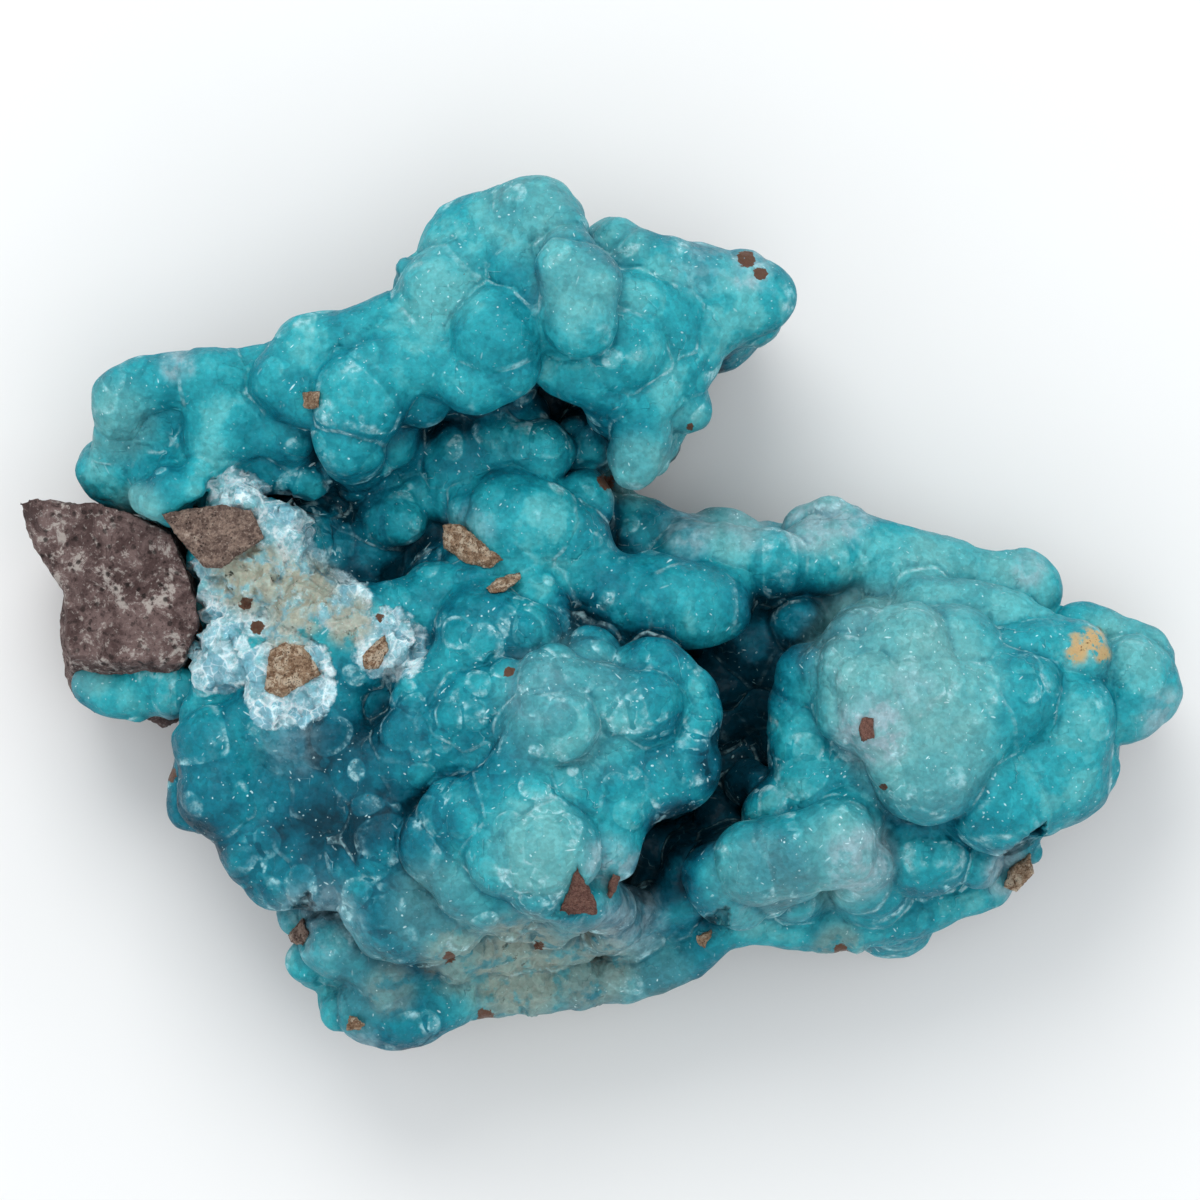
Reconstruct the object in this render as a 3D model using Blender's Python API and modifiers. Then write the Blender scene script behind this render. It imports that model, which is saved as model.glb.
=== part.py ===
# Smithsonite: a botryoidal blue-green crust grown on a piece of brown host rock.
# It lies on the broken back of the rock, with the crust facing up (+Z).
# Metres. +X is to the right and +Y away along the plan, +Z up. The origin is on the floor, under the middle.
import math
import random

import bmesh
import bpy
import numpy as np
from mathutils import Vector

MM = 0.001

# Plan. The tables give places in mm from the left and upper edges of a 120 mm square, and heights over
# the floor.
PLAN_MIDDLE_U = 60.2
PLAN_MIDDLE_V = 61.3

# Looks of the three materials: colour, roughness.
CRUST_LOOK = ((0.10, 0.52, 0.56), 0.35)
ROCK_LOOK = ((0.17, 0.11, 0.09), 0.85)
CHIP_LOOK = ((0.36, 0.23, 0.14), 0.85)

# Crust.
CRUST_BASE = 3.6
BALL_DETAIL = 2
CRUST_VOXEL = 0.9
CRUST_TRIANGLES_KEPT = 0.084
CRUST_SMOOTH_STEPS = 2
CRUST_SMOOTH_FACTOR = 0.5
LUMP_STEP = 0.95
LUMP_STEP_SPREAD = (0.8, 1.15)
LUMP_SIZE_SPREAD = (0.82, 1.2)
LUMP_DRIFT_SPREAD = (0.3, 1.7)
LUMP_SMALLEST = 2.2
LUMP_LARGEST = 5.4
LUMP_DRIFT = 0.55
LUMP_SWAY = 1.1
WEB_REACH = 0.88
WEB_NEAREST = 0.25
WEB_STEP = 2.4
WEB_SINK = 0.45
WEB_SIZE = 0.95
CORE_STEP = 0.7
CORE_NEAR = 0.5
FILL_RISE = 4.0
FILL_SPREAD = 1.12

# Host rock.
SLAB_TOP = 10.0
ROCK_BOTTOM_ROOM = 3.0
BLOCK_SHOULDER = (0.45, 0.7)
BLOCK_INSET = (0.08, 0.22)
BLOCK_UNEVEN = 0.8
FLOOR_CUTTER_SIZE = 400.0
ROCK_FIT_GAP = 0.45
CHIP_FIT_GAP = 0.42

# Lumps of the crust: u, v, height of the summit, radius.
TOWER = [
    (53.6, 21.8, 35.0, 4.7), (56.2, 22.8, 36.0, 3.0), (45.4, 24.6, 32.0, 4.0), (48.9, 23.4, 33.0, 4.9),
    (44.3, 29.4, 35.5, 5.1), (40.6, 26.8, 31.0, 1.5), (41.6, 32.5, 33.0, 4.2), (49.7, 33.4, 39.5, 5.0),
    (47.5, 38.4, 37.0, 3.7), (50.4, 36.6, 37.5, 3.9), (44.8, 36.4, 35.5, 4.2), (58.2, 32.5, 41.5, 3.9),
    (56.2, 26.8, 41.0, 3.1), (58.7, 28.0, 41.5, 3.8), (57.0, 25.4, 38.5, 3.2), (51.6, 27.3, 36.5, 2.6),
    (50.0, 24.8, 34.5, 3.0), (53.4, 30.6, 37.0, 3.4), (46.5, 27.0, 34.0, 3.2),
]
SHOULDER = [
    (61.6, 23.7, 29.5, 2.6), (64.2, 26.0, 31.0, 3.2), (67.2, 27.6, 31.5, 3.8), (71.0, 28.6, 31.0, 4.2),
    (75.4, 30.2, 30.5, 3.6), (77.0, 29.7, 29.5, 2.8), (74.0, 26.8, 28.5, 2.2), (70.0, 33.4, 31.5, 3.9),
    (66.0, 32.5, 34.0, 4.8), (62.2, 35.0, 37.0, 4.9), (63.5, 31.0, 35.0, 4.0), (67.3, 36.8, 32.0, 3.8),
    (64.5, 39.3, 33.5, 3.9), (68.0, 40.9, 30.0, 3.15), (64.2, 43.6, 32.5, 3.3), (63.5, 46.6, 31.5, 2.8),
    (58.4, 37.4, 35.5, 3.6), (61.0, 38.6, 34.5, 3.0), (55.6, 37.2, 34.0, 2.6),
]
LEFT_LOBE = [
    (9.3, 47.1, 22.0, 2.1), (10.9, 44.0, 25.0, 2.1), (11.6, 41.3, 27.0, 2.5), (12.3, 39.2, 28.0, 2.7),
    (14.9, 38.0, 28.5, 2.9), (17.8, 37.8, 28.0, 2.8), (21.2, 37.9, 30.0, 3.6), (21.5, 43.8, 30.0, 3.6),
    (24.2, 42.6, 29.5, 3.8), (27.8, 38.0, 33.0, 3.3), (31.2, 35.4, 33.0, 4.2), (36.2, 39.8, 36.5, 5.3),
    (34.8, 44.6, 34.5, 3.6), (30.6, 39.8, 33.5, 3.4), (29.0, 43.5, 29.5, 3.6), (35.4, 33.7, 33.0, 3.2),
    (40.0, 32.0, 32.5, 2.7), (38.0, 34.0, 32.5, 2.8), (39.6, 36.2, 35.5, 4.0), (42.2, 39.6, 32.5, 3.6),
    (26.2, 36.3, 28.0, 2.5), (26.4, 46.0, 27.0, 3.4), (30.8, 47.3, 26.0, 2.8),
]
RECESS = [
    (39.6, 44.6, 28.0, 2.6), (45.6, 46.0, 26.0, 4.0), (49.6, 44.6, 27.0, 4.0), (54.4, 45.2, 28.0, 3.3),
    (52.0, 41.8, 25.0, 3.4), (58.6, 43.8, 24.0, 3.6), (42.2, 48.6, 23.5, 2.4), (38.6, 51.4, 25.0, 3.6),
    (40.6, 52.3, 26.0, 2.0), (36.8, 55.8, 23.0, 3.2), (41.0, 56.4, 21.0, 3.0), (33.2, 51.4, 20.0, 3.0),
    (35.0, 49.0, 21.0, 2.6), (45.0, 50.4, 25.0, 2.4), (43.6, 53.6, 22.0, 2.6), (57.2, 48.0, 22.0, 2.8),
    (32.6, 56.6, 20.0, 2.8),
]
MIDDLE = [
    (50.8, 51.2, 31.0, 4.6), (54.0, 52.2, 31.5, 4.2), (57.0, 53.6, 29.5, 4.4), (58.6, 50.2, 27.0, 3.4),
    (47.2, 51.2, 28.0, 2.8), (48.4, 52.8, 30.3, 1.3), (47.0, 56.6, 29.0, 2.6), (51.0, 56.0, 30.5, 2.8),
    (43.6, 60.4, 31.5, 4.3), (48.2, 62.4, 35.5, 4.9), (46.6, 65.2, 36.0, 3.6), (53.4, 60.2, 31.5, 4.0),
    (52.6, 64.0, 35.5, 3.8), (56.6, 58.4, 28.0, 3.0), (47.5, 58.0, 31.5, 2.6),
]
BACK_RIDGE = [
    (62.6, 52.6, 20.0, 3.8), (65.6, 53.4, 20.5, 3.2), (63.4, 53.9, 21.3, 1.3), (69.0, 55.4, 24.0, 3.9),
    (73.0, 55.8, 24.5, 3.8), (77.3, 56.4, 25.0, 3.8), (83.0, 56.2, 23.5, 3.7), (88.6, 58.2, 23.0, 2.7),
    (81.0, 54.4, 22.5, 3.0), (85.8, 54.0, 22.0, 3.1), (90.6, 55.0, 22.0, 3.2), (95.5, 56.6, 22.0, 3.3),
    (100.4, 58.2, 22.0, 3.4), (103.8, 58.9, 21.5, 3.2), (91.0, 57.5, 23.0, 2.6), (108.2, 62.4, 22.5, 3.0),
    (112.6, 64.2, 23.0, 2.8), (72.8, 53.0, 18.5, 2.5), (75.4, 53.8, 18.5, 2.0), (80.0, 52.4, 19.5, 2.3),
    (83.0, 51.8, 20.0, 2.4), (102.6, 56.5, 20.0, 1.8), (68.8, 53.6, 19.5, 2.3),
]
FINGER = [
    (61.6, 59.0, 28.5, 3.6), (63.8, 60.4, 29.5, 3.9), (67.4, 60.4, 30.5, 4.2), (70.6, 60.7, 30.0, 4.1),
    (72.4, 61.0, 28.5, 3.4), (60.0, 62.6, 26.5, 2.8), (59.2, 57.6, 28.5, 3.2), (66.0, 58.2, 28.5, 3.0),
    (65.6, 62.6, 28.0, 2.8),
]
ARM = [
    (86.0, 64.0, 33.0, 3.9), (90.6, 65.2, 35.5, 5.4), (95.4, 64.8, 33.0, 4.8), (96.2, 60.6, 27.5, 3.4),
    (92.4, 60.8, 28.0, 3.2), (101.0, 62.4, 27.5, 4.0), (85.3, 67.2, 36.0, 3.9), (86.4, 68.2, 38.0, 3.1),
    (87.2, 72.3, 38.5, 3.3), (84.4, 71.4, 35.0, 3.2), (92.0, 69.6, 37.0, 4.6), (80.2, 67.3, 31.0, 3.2),
    (82.4, 67.6, 32.5, 3.0), (80.9, 73.4, 30.0, 4.6), (76.0, 78.3, 24.0, 2.4), (82.4, 78.6, 31.0, 5.2),
    (78.4, 81.4, 29.5, 4.6), (87.6, 78.0, 31.5, 4.4), (71.1, 87.4, 33.0, 3.6), (75.2, 86.4, 35.0, 4.2),
    (79.4, 85.4, 36.0, 4.4), (83.8, 83.4, 36.0, 3.9), (85.2, 86.0, 35.0, 2.7), (72.4, 90.2, 31.5, 2.8),
    (93.0, 76.4, 37.0, 6.3), (97.0, 71.6, 36.0, 5.8), (101.6, 69.8, 34.6, 5.2), (107.4, 71.4, 32.0, 4.6),
    (107.4, 65.8, 29.5, 4.3), (102.6, 65.6, 30.5, 4.2), (113.4, 66.8, 27.0, 3.8), (115.6, 69.3, 25.0, 3.3),
    (115.2, 64.6, 23.0, 2.4), (112.6, 71.0, 26.5, 4.0), (105.2, 76.6, 31.2, 6.8), (109.2, 76.8, 27.5, 3.4),
    (99.8, 79.8, 33.0, 5.8), (92.4, 85.0, 28.5, 5.2), (97.7, 85.9, 25.0, 2.8), (87.4, 88.6, 25.5, 3.6),
    (68.6, 86.2, 24.0, 2.6),
]
LEDGE = [
    (75.8, 92.3, 22.0, 2.8), (79.8, 92.6, 21.5, 3.0), (83.2, 93.0, 21.0, 3.0), (86.6, 92.0, 21.0, 3.2),
    (90.4, 91.3, 21.0, 2.9), (93.6, 90.9, 20.0, 2.9), (98.0, 89.4, 19.0, 2.6), (100.8, 87.0, 18.0, 2.2),
    (80.0, 89.8, 25.0, 3.0), (102.0, 85.0, 20.0, 2.0),
]
BODY = [
    (60.0, 69.8, 40.0, 4.0), (65.4, 67.9, 37.0, 4.4), (67.9, 70.0, 35.5, 3.9), (64.8, 70.6, 40.0, 3.8),
    (69.0, 73.2, 36.5, 3.1), (66.8, 76.7, 37.0, 5.2), (61.6, 78.6, 38.0, 5.4), (56.5, 72.4, 42.5, 3.7),
    (53.0, 73.0, 41.5, 3.6), (55.4, 69.0, 40.5, 4.3), (51.2, 69.4, 38.5, 3.6), (47.0, 71.0, 38.5, 4.6),
    (43.0, 69.6, 36.0, 4.0), (45.0, 75.0, 36.5, 2.9), (41.0, 73.8, 36.5, 3.4), (41.0, 77.0, 35.5, 3.2),
    (51.8, 79.6, 41.5, 4.6), (46.5, 81.4, 40.0, 4.2), (43.4, 84.6, 38.0, 3.5), (46.6, 88.6, 38.5, 3.6),
    (50.4, 85.4, 41.5, 4.4), (55.2, 84.8, 43.5, 5.2), (54.8, 89.0, 41.0, 3.4), (60.6, 84.2, 38.5, 3.6),
    (61.8, 86.0, 37.0, 2.2), (40.2, 90.8, 34.0, 5.9), (44.6, 91.6, 33.5, 4.6), (57.0, 79.0, 39.5, 3.8),
    (61.0, 74.6, 38.0, 3.4), (48.6, 75.6, 37.0, 2.8), (38.4, 66.8, 31.0, 3.0), (58.6, 66.4, 36.0, 2.8),
    (50.6, 90.2, 37.0, 3.4), (58.8, 90.4, 37.6, 2.6), (56.6, 90.0, 39.0, 2.8), (37.2, 69.6, 30.5, 3.0),
]
BODY_LEFT = [
    (21.4, 74.6, 31.5, 4.1), (21.8, 79.6, 32.0, 4.5), (18.9, 80.8, 27.0, 3.0), (25.4, 83.8, 30.0, 4.0),
    (28.3, 87.0, 30.0, 4.2), (31.8, 87.8, 31.5, 3.6), (28.8, 74.0, 33.0, 3.0), (32.2, 79.4, 32.4, 4.0),
    (34.6, 80.8, 32.5, 3.4), (36.2, 86.6, 33.0, 4.0), (38.4, 83.6, 35.4, 4.0), (33.4, 73.6, 33.5, 3.6),
    (37.0, 77.6, 34.4, 3.8), (28.6, 79.6, 31.0, 3.8), (30.6, 83.6, 31.2, 3.8), (20.2, 71.4, 28.0, 2.8),
    (25.4, 72.4, 31.6, 3.4), (27.0, 69.8, 31.0, 2.6), (19.4, 76.4, 27.0, 2.6),
]
FOOT = [
    (33.4, 94.4, 25.0, 3.8), (30.4, 96.4, 21.0, 2.4), (28.9, 92.2, 20.0, 1.8), (32.6, 91.6, 22.0, 2.6),
    (33.4, 101.6, 20.5, 2.3), (36.8, 101.2, 23.0, 3.8), (40.4, 101.2, 24.0, 4.2), (44.2, 100.0, 24.0, 3.5),
    (38.6, 97.0, 25.5, 3.6), (48.6, 98.6, 22.0, 3.8), (53.4, 99.2, 21.5, 3.1), (57.8, 98.4, 21.0, 3.1),
    (62.6, 98.2, 20.5, 2.8), (66.2, 97.2, 20.5, 2.6), (69.8, 95.4, 21.0, 2.6), (71.4, 93.4, 22.0, 2.4),
    (63.4, 92.0, 24.0, 2.4), (66.6, 91.8, 23.0, 1.5), (67.0, 89.4, 24.0, 2.2), (69.6, 90.4, 24.5, 1.7),
    (46.0, 95.4, 27.0, 3.2), (50.6, 94.2, 25.0, 3.4), (56.0, 94.0, 24.5, 3.2), (60.6, 92.6, 25.0, 3.0),
]
WELL = [
    (75.0, 64.6, 21.0, 4.4), (71.8, 68.0, 19.5, 3.6), (76.2, 69.8, 17.0, 4.0), (73.4, 76.0, 13.0, 4.0),
    (80.0, 62.6, 22.0, 3.4), (84.6, 60.8, 21.5, 3.2), (69.0, 82.0, 14.0, 3.2), (65.2, 84.8, 20.0, 2.6),
    (78.0, 66.0, 20.0, 3.4), (78.6, 74.0, 16.0, 3.6), (72.0, 72.0, 16.0, 3.4),
    (65.0, 88.4, 19.0, 2.4), (71.8, 81.4, 19.0, 2.6),
]
BREAK = [
    (15.4, 50.4, 31.0, 2.0), (17.6, 49.2, 31.5, 2.0), (19.9, 48.6, 31.5, 1.5), (23.6, 50.4, 30.0, 3.0),
    (28.0, 52.6, 30.5, 3.0), (22.4, 54.8, 31.0, 2.8), (26.6, 57.8, 31.0, 4.0), (31.8, 61.6, 32.0, 4.2),
    (36.4, 64.2, 33.6, 5.2), (38.6, 61.4, 32.0, 3.4), (23.9, 64.4, 31.0, 3.6), (28.8, 66.4, 32.0, 4.0),
    (33.6, 68.4, 33.0, 3.4), (27.6, 70.4, 33.0, 2.6), (21.6, 67.4, 29.5, 2.4), (23.8, 59.8, 28.5, 3.2),
    (20.6, 55.6, 28.0, 2.0), (22.4, 59.2, 28.5, 2.3), (22.3, 62.6, 28.5, 2.3), (17.4, 51.6, 29.0, 1.8),
]
RIND = [
    (8.8, 68.4, 21.0, 2.2), (10.8, 69.3, 22.0, 2.8), (13.4, 69.4, 22.5, 2.8), (15.6, 68.6, 23.0, 2.4),
    (18.0, 69.0, 24.5, 2.6),
]
HOLLOW = [
    (10.8, 47.4, 23.0, 2.4), (13.6, 46.2, 23.6, 3.4), (16.8, 44.6, 24.6, 4.0), (14.6, 42.4, 24.6, 3.2),
    (18.0, 41.4, 25.6, 3.0), (11.6, 49.0, 21.0, 2.2), (14.2, 48.8, 22.6, 2.8), (17.6, 47.4, 24.6, 3.2),
    (21.0, 46.8, 25.6, 3.0),
]
SURFACE = [
    TOWER, SHOULDER, LEFT_LOBE, RECESS, MIDDLE, BACK_RIDGE, FINGER, ARM, LEDGE, BODY, BODY_LEFT, FOOT, WELL,
    BREAK, RIND, HOLLOW,
]

# Masses under the lumps, which carry them.
CORE = [
    (51.0, 28.0, 31.0, 8.5), (47.0, 34.0, 31.0, 8.5), (57.0, 31.0, 35.0, 7.0), (64.0, 34.0, 29.0, 7.5),
    (70.5, 31.2, 27.0, 4.6), (64.5, 42.0, 27.0, 4.0), (38.0, 38.0, 31.0, 7.0), (30.5, 40.0, 27.0, 6.0),
    (22.0, 42.0, 24.0, 6.0), (14.5, 43.5, 20.0, 4.0), (49.0, 46.0, 20.5, 8.0), (39.0, 49.0, 16.5, 7.0),
    (55.0, 52.0, 24.0, 7.0), (47.5, 60.0, 28.0, 8.0), (57.5, 61.0, 21.0, 7.0), (66.0, 60.0, 24.0, 6.0),
    (30.0, 57.0, 25.0, 8.0), (34.0, 64.0, 28.0, 7.5), (24.0, 62.0, 24.0, 6.5), (47.0, 71.0, 33.0, 9.0),
    (57.0, 72.0, 35.5, 9.0), (64.5, 73.0, 32.5, 6.5), (36.0, 75.0, 27.0, 9.0), (26.5, 76.5, 25.5, 7.5),
    (47.0, 82.0, 34.5, 9.0), (57.0, 82.0, 36.0, 7.5), (35.0, 84.0, 26.5, 8.5), (42.0, 91.0, 28.0, 7.0),
    (51.5, 88.5, 33.5, 6.0), (29.5, 83.5, 24.0, 5.5), (40.0, 97.0, 20.0, 6.0), (54.0, 94.0, 19.0, 5.5),
    (64.0, 93.0, 18.0, 4.5), (70.0, 57.0, 17.5, 5.0), (80.0, 58.0, 17.0, 5.0), (90.0, 60.0, 20.0, 5.5),
    (100.0, 63.0, 22.0, 5.5), (91.0, 67.0, 31.0, 7.5), (84.0, 70.0, 28.0, 6.5), (97.0, 72.0, 31.0, 8.0),
    (106.0, 70.0, 25.5, 7.0), (111.4, 68.4, 21.5, 4.0), (92.0, 79.0, 29.5, 8.0), (83.5, 80.0, 27.0, 7.0),
    (101.5, 77.0, 25.5, 7.0), (77.0, 86.5, 28.0, 5.0), (86.0, 87.0, 24.0, 5.5), (93.0, 85.5, 21.0, 5.0),
    (73.5, 68.0, 9.5, 6.0), (70.5, 80.0, 10.0, 5.0),
]

# Blocks of the host rock: height of the upper corners, then the corners of the block in plan.
ROCK_BLOCKS = [
    (SLAB_TOP, [(14, 46), (30, 40), (42, 41), (46, 60), (40, 78), (24, 80), (17, 68)]),
    (SLAB_TOP + 1.5, [(38, 38), (52, 26), (64, 28), (68, 38), (62, 48), (58, 62), (44, 60)]),
    (SLAB_TOP - 1.5, [(42, 56), (66, 58), (70, 72), (62, 90), (46, 96), (34, 90), (34, 70)]),
    (SLAB_TOP - 3.0, [(62, 60), (90, 60), (98, 70), (92, 84), (72, 88), (60, 80)]),
    (SLAB_TOP + 0.5, [(86, 62), (104, 64), (111, 69), (108, 76), (98, 84), (84, 82)]),
    (SLAB_TOP - 1.0, [(24, 74), (40, 74), (46, 98), (38, 100), (30, 88)]),
]
KNOB = [
    (1.7, 50.3, 21.5), (2.5, 49.7, 22.5), (2.4, 50.6, 15.0), (3.2, 53.0, 13.0), (6.0, 49.9, 24.0),
    (9.8, 50.1, 25.5), (13.2, 51.2, 26.5), (17.4, 53.0, 27.0), (18.8, 56.5, 27.5), (19.8, 59.6, 27.0),
    (6.1, 59.4, 22.5), (4.0, 55.6, 21.5), (2.0, 53.0, 20.5), (5.0, 53.0, 14.0), (9.0, 50.8, 12.0),
    (6.4, 58.0, 12.0),
    (8.5, 54.0, -3.0), (14.0, 52.0, -3.0), (20.0, 56.0, -3.0), (20.0, 60.0, -3.0), (8.5, 59.0, -3.0),
]
KNOB_LOWER = [
    (5.9, 58.2, 22.0), (19.6, 58.4, 27.2), (20.0, 62.6, 27.0), (18.6, 66.8, 26.0), (13.0, 66.3, 25.5),
    (6.6, 66.0, 22.5), (6.0, 64.0, 21.5), (5.4, 65.4, 15.0), (6.6, 69.4, 13.0), (9.0, 71.6, 11.0),
    (7.5, 60.0, -3.0), (20.0, 58.0, -3.0), (20.0, 67.0, -3.0), (12.0, 69.0, -3.0), (8.0, 67.0, -3.0),
]
KNOB_SIDE = [
    (14.0, 72.2, 16.5), (16.0, 70.0, 18.0), (17.6, 70.4, 17.5), (17.6, 72.2, 15.5), (16.4, 73.4, 15.0),
    (20.0, 66.0, 18.0), (14.0, 64.0, 18.0), (14.6, 70.0, -3.0), (18.0, 71.6, -3.0), (22.0, 66.0, -3.0),
    (14.0, 63.0, -3.0),
]

# Chips of the rock held in the crust: name, height in the middle of the face, its rise per mm along u and v,
# depth, corners in plan.
CHIPS = [
    ("matrix_chip_upper", 31.3, (0.0, 0.0), 4.0,
     [(16.0, 51.3), (18.0, 51.6), (22.2, 50.4), (25.3, 51.1), (26.6, 53.8), (23.5, 54.9), (22.2, 57.0),
      (20.4, 56.8), (18.0, 54.0)]),
    ("matrix_chip_left", 32.9, (0.0, 0.0), 4.0,
     [(27.0, 65.0), (28.5, 64.1), (30.6, 64.5), (32.3, 67.4), (30.0, 68.8), (28.3, 69.9), (26.4, 69.0)]),
    ("matrix_chip_orange", 33.9, (0.0, 0.0), 3.0,
     [(36.9, 64.6), (38.6, 63.4), (39.1, 65.0), (38.0, 66.9), (36.4, 67.1), (36.3, 65.6)]),
    ("matrix_chip_tan", 30.0, (0.6, 0.0), 4.2,
     [(44.2, 52.4), (46.0, 52.3), (48.4, 54.4), (50.5, 56.0), (49.0, 57.0), (46.4, 56.4), (44.3, 54.8)]),
    ("matrix_chip_tan_small", 32.3, (0.0, 1.2), 3.0,
     [(48.5, 58.8), (50.0, 57.6), (52.1, 57.1), (52.3, 57.9), (50.5, 59.2), (49.0, 59.4)]),
    ("matrix_chip_square", 34.5, (1.2, 0.0), 2.8,
     [(30.3, 39.1), (32.2, 39.2), (32.1, 41.0), (30.4, 41.0)]),
    ("matrix_chip_red", 38.5, (0.0, 0.0), 2.8,
     [(86.0, 71.6), (87.3, 71.7), (87.3, 73.8), (86.0, 74.2), (85.6, 72.8)]),
    ("matrix_chip_lower", 39.7, (0.0, -0.8), 5.0,
     [(57.7, 86.2), (55.8, 91.0), (56.8, 91.4), (59.8, 91.3), (59.7, 90.0), (58.9, 88.4)]),
    ("matrix_chip_lower_small", 37.4, (0.0, -1.0), 5.0,
     [(60.6, 89.4), (60.8, 88.0), (61.3, 87.2), (62.1, 87.5), (61.6, 89.0), (60.9, 90.0)]),
    ("matrix_chip_right", 19.6, (0.0, 0.0), 5.0,
     [(101.0, 86.8), (103.2, 85.2), (103.6, 87.4), (101.8, 89.4), (100.4, 88.8)]),
    ("matrix_chip_foot", 22.1, (0.0, 0.0), 4.0,
     [(69.5, 93.6), (71.3, 92.8), (71.3, 93.6), (70.5, 95.0), (69.8, 94.6)]),
    ("matrix_chip_mauve", 21.7, (1.0, 0.0), 4.5,
     [(28.6, 93.6), (29.7, 92.5), (30.3, 91.7), (31.0, 93.4), (30.3, 94.8), (29.0, 94.4)]),
    ("matrix_chip_heel", 22.8, (0.0, 0.0), 4.0,
     [(34.5, 102.6), (34.9, 101.5), (35.8, 101.6), (36.6, 102.5), (36.0, 103.2), (34.6, 103.2)]),
]
CHIP_RIM = (0.06, 0.16)
CHIP_FACE = 0.72
CHIP_WAIST = 0.6
CHIP_FOOT = 0.7


def clear_scene():
    for obj in list(bpy.data.objects):
        bpy.data.objects.remove(obj, do_unlink=True)


def make_collection(name):
    collection = bpy.data.collections.new(name)
    bpy.context.scene.collection.children.link(collection)
    return collection


def make_material(name, colour, roughness):
    material = bpy.data.materials.new(name)
    material.use_nodes = True
    shader = material.node_tree.nodes["Principled BSDF"]
    shader.inputs["Base Color"].default_value = (*colour, 1.0)
    shader.inputs["Roughness"].default_value = roughness
    material.diffuse_color = (*colour, 1.0)
    return material


def place(u, v, z):
    return Vector(((u - PLAN_MIDDLE_U) * MM, (PLAN_MIDDLE_V - v) * MM, z * MM))


def unit_ball(detail):
    bm = bmesh.new()
    bmesh.ops.create_icosphere(bm, subdivisions=detail, radius=1.0)
    points = np.array([vert.co[:] for vert in bm.verts])
    faces = np.array([[vert.index for vert in face.verts] for face in bm.faces])
    bm.free()
    return points, faces


def nearest_core(u, v):
    return min(CORE, key=lambda core: (core[0] - u) ** 2 + (core[1] - v) ** 2)


def lump_column(lump, chance):
    """Balls from the summit of a lump down to the underside of the crust."""
    u, v, top, radius = lump
    core_u, core_v = nearest_core(u, v)[:2]
    inward = Vector((core_u - u, core_v - v))
    inward = inward.normalized() if inward.length > CORE_NEAR else Vector((0.0, 0.0))
    reach = radius
    depth = 0.0
    sway = 0.0
    balls = []
    height = top - radius
    while height - radius > CRUST_BASE:
        in_by = depth + max(0.0, radius - reach)
        ball_u = u + inward.x * in_by - inward.y * sway
        ball_v = v + inward.y * in_by + inward.x * sway
        balls.append((ball_u, ball_v, height, radius))
        height -= LUMP_STEP * radius * chance.uniform(*LUMP_STEP_SPREAD)
        radius = min(LUMP_LARGEST, max(LUMP_SMALLEST, radius * chance.uniform(*LUMP_SIZE_SPREAD)))
        depth += LUMP_DRIFT * chance.uniform(*LUMP_DRIFT_SPREAD)
        sway = chance.uniform(-LUMP_SWAY, LUMP_SWAY)
    in_by = depth + max(0.0, radius - reach)
    balls.append((u + inward.x * in_by, v + inward.y * in_by, CRUST_BASE + radius, radius))
    return balls


def web_balls():
    """Balls between neighbouring lumps of like height, which keep the valleys between them shallow."""
    lumps = [lump for group in SURFACE if group is not WELL for lump in group]
    balls = []
    for index, (u, v, top, radius) in enumerate(lumps):
        for other_u, other_v, other_top, other_radius in lumps[index + 1:]:
            apart = math.hypot(other_u - u, other_v - v)
            both = radius + other_radius
            if apart > WEB_REACH * both or apart < WEB_NEAREST * both or abs(top - other_top) > WEB_STEP:
                continue
            half = 0.5 * both
            valley = half - math.sqrt(max(half * half - 0.25 * apart * apart, 0.0))
            summit = 0.5 * (top + other_top) - WEB_SINK * valley
            size = WEB_SIZE * half
            balls.append((0.5 * (u + other_u), 0.5 * (v + other_v), summit - size, size))
    return balls


def core_column(core):
    u, v, top, radius = core
    balls = []
    height = top - radius
    while height - radius > CRUST_BASE:
        balls.append((u, v, height, radius))
        height -= CORE_STEP * radius
    balls.append((u, v, CRUST_BASE + radius, radius))
    return balls


def hull_arrays(points):
    """The convex hull of places in plan and height, as vertices and triangles."""
    bm = bmesh.new()
    for point in points:
        bm.verts.new(place(*point))
    made = bmesh.ops.convex_hull(bm, input=bm.verts)
    inside = [item for item in made["geom_interior"] if isinstance(item, bmesh.types.BMVert)]
    bmesh.ops.delete(bm, geom=inside, context="VERTS")
    bmesh.ops.recalc_face_normals(bm, faces=bm.faces)
    bm.verts.index_update()
    verts = [vert.co[:] for vert in bm.verts]
    faces = [[vert.index for vert in face.verts] for face in bm.faces]
    bm.free()
    return verts, faces


def fill_points(top, corners):
    """Corners of the mass that the crust fills over one block of the rock."""
    middle_u = sum(corner[0] for corner in corners) / len(corners)
    middle_v = sum(corner[1] for corner in corners) / len(corners)
    points = []
    for u, v in corners:
        wide_u = middle_u + (u - middle_u) * FILL_SPREAD
        wide_v = middle_v + (v - middle_v) * FILL_SPREAD
        points.append((wide_u, wide_v, CRUST_BASE))
        points.append((u, v, top + FILL_RISE))
    return points


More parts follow.
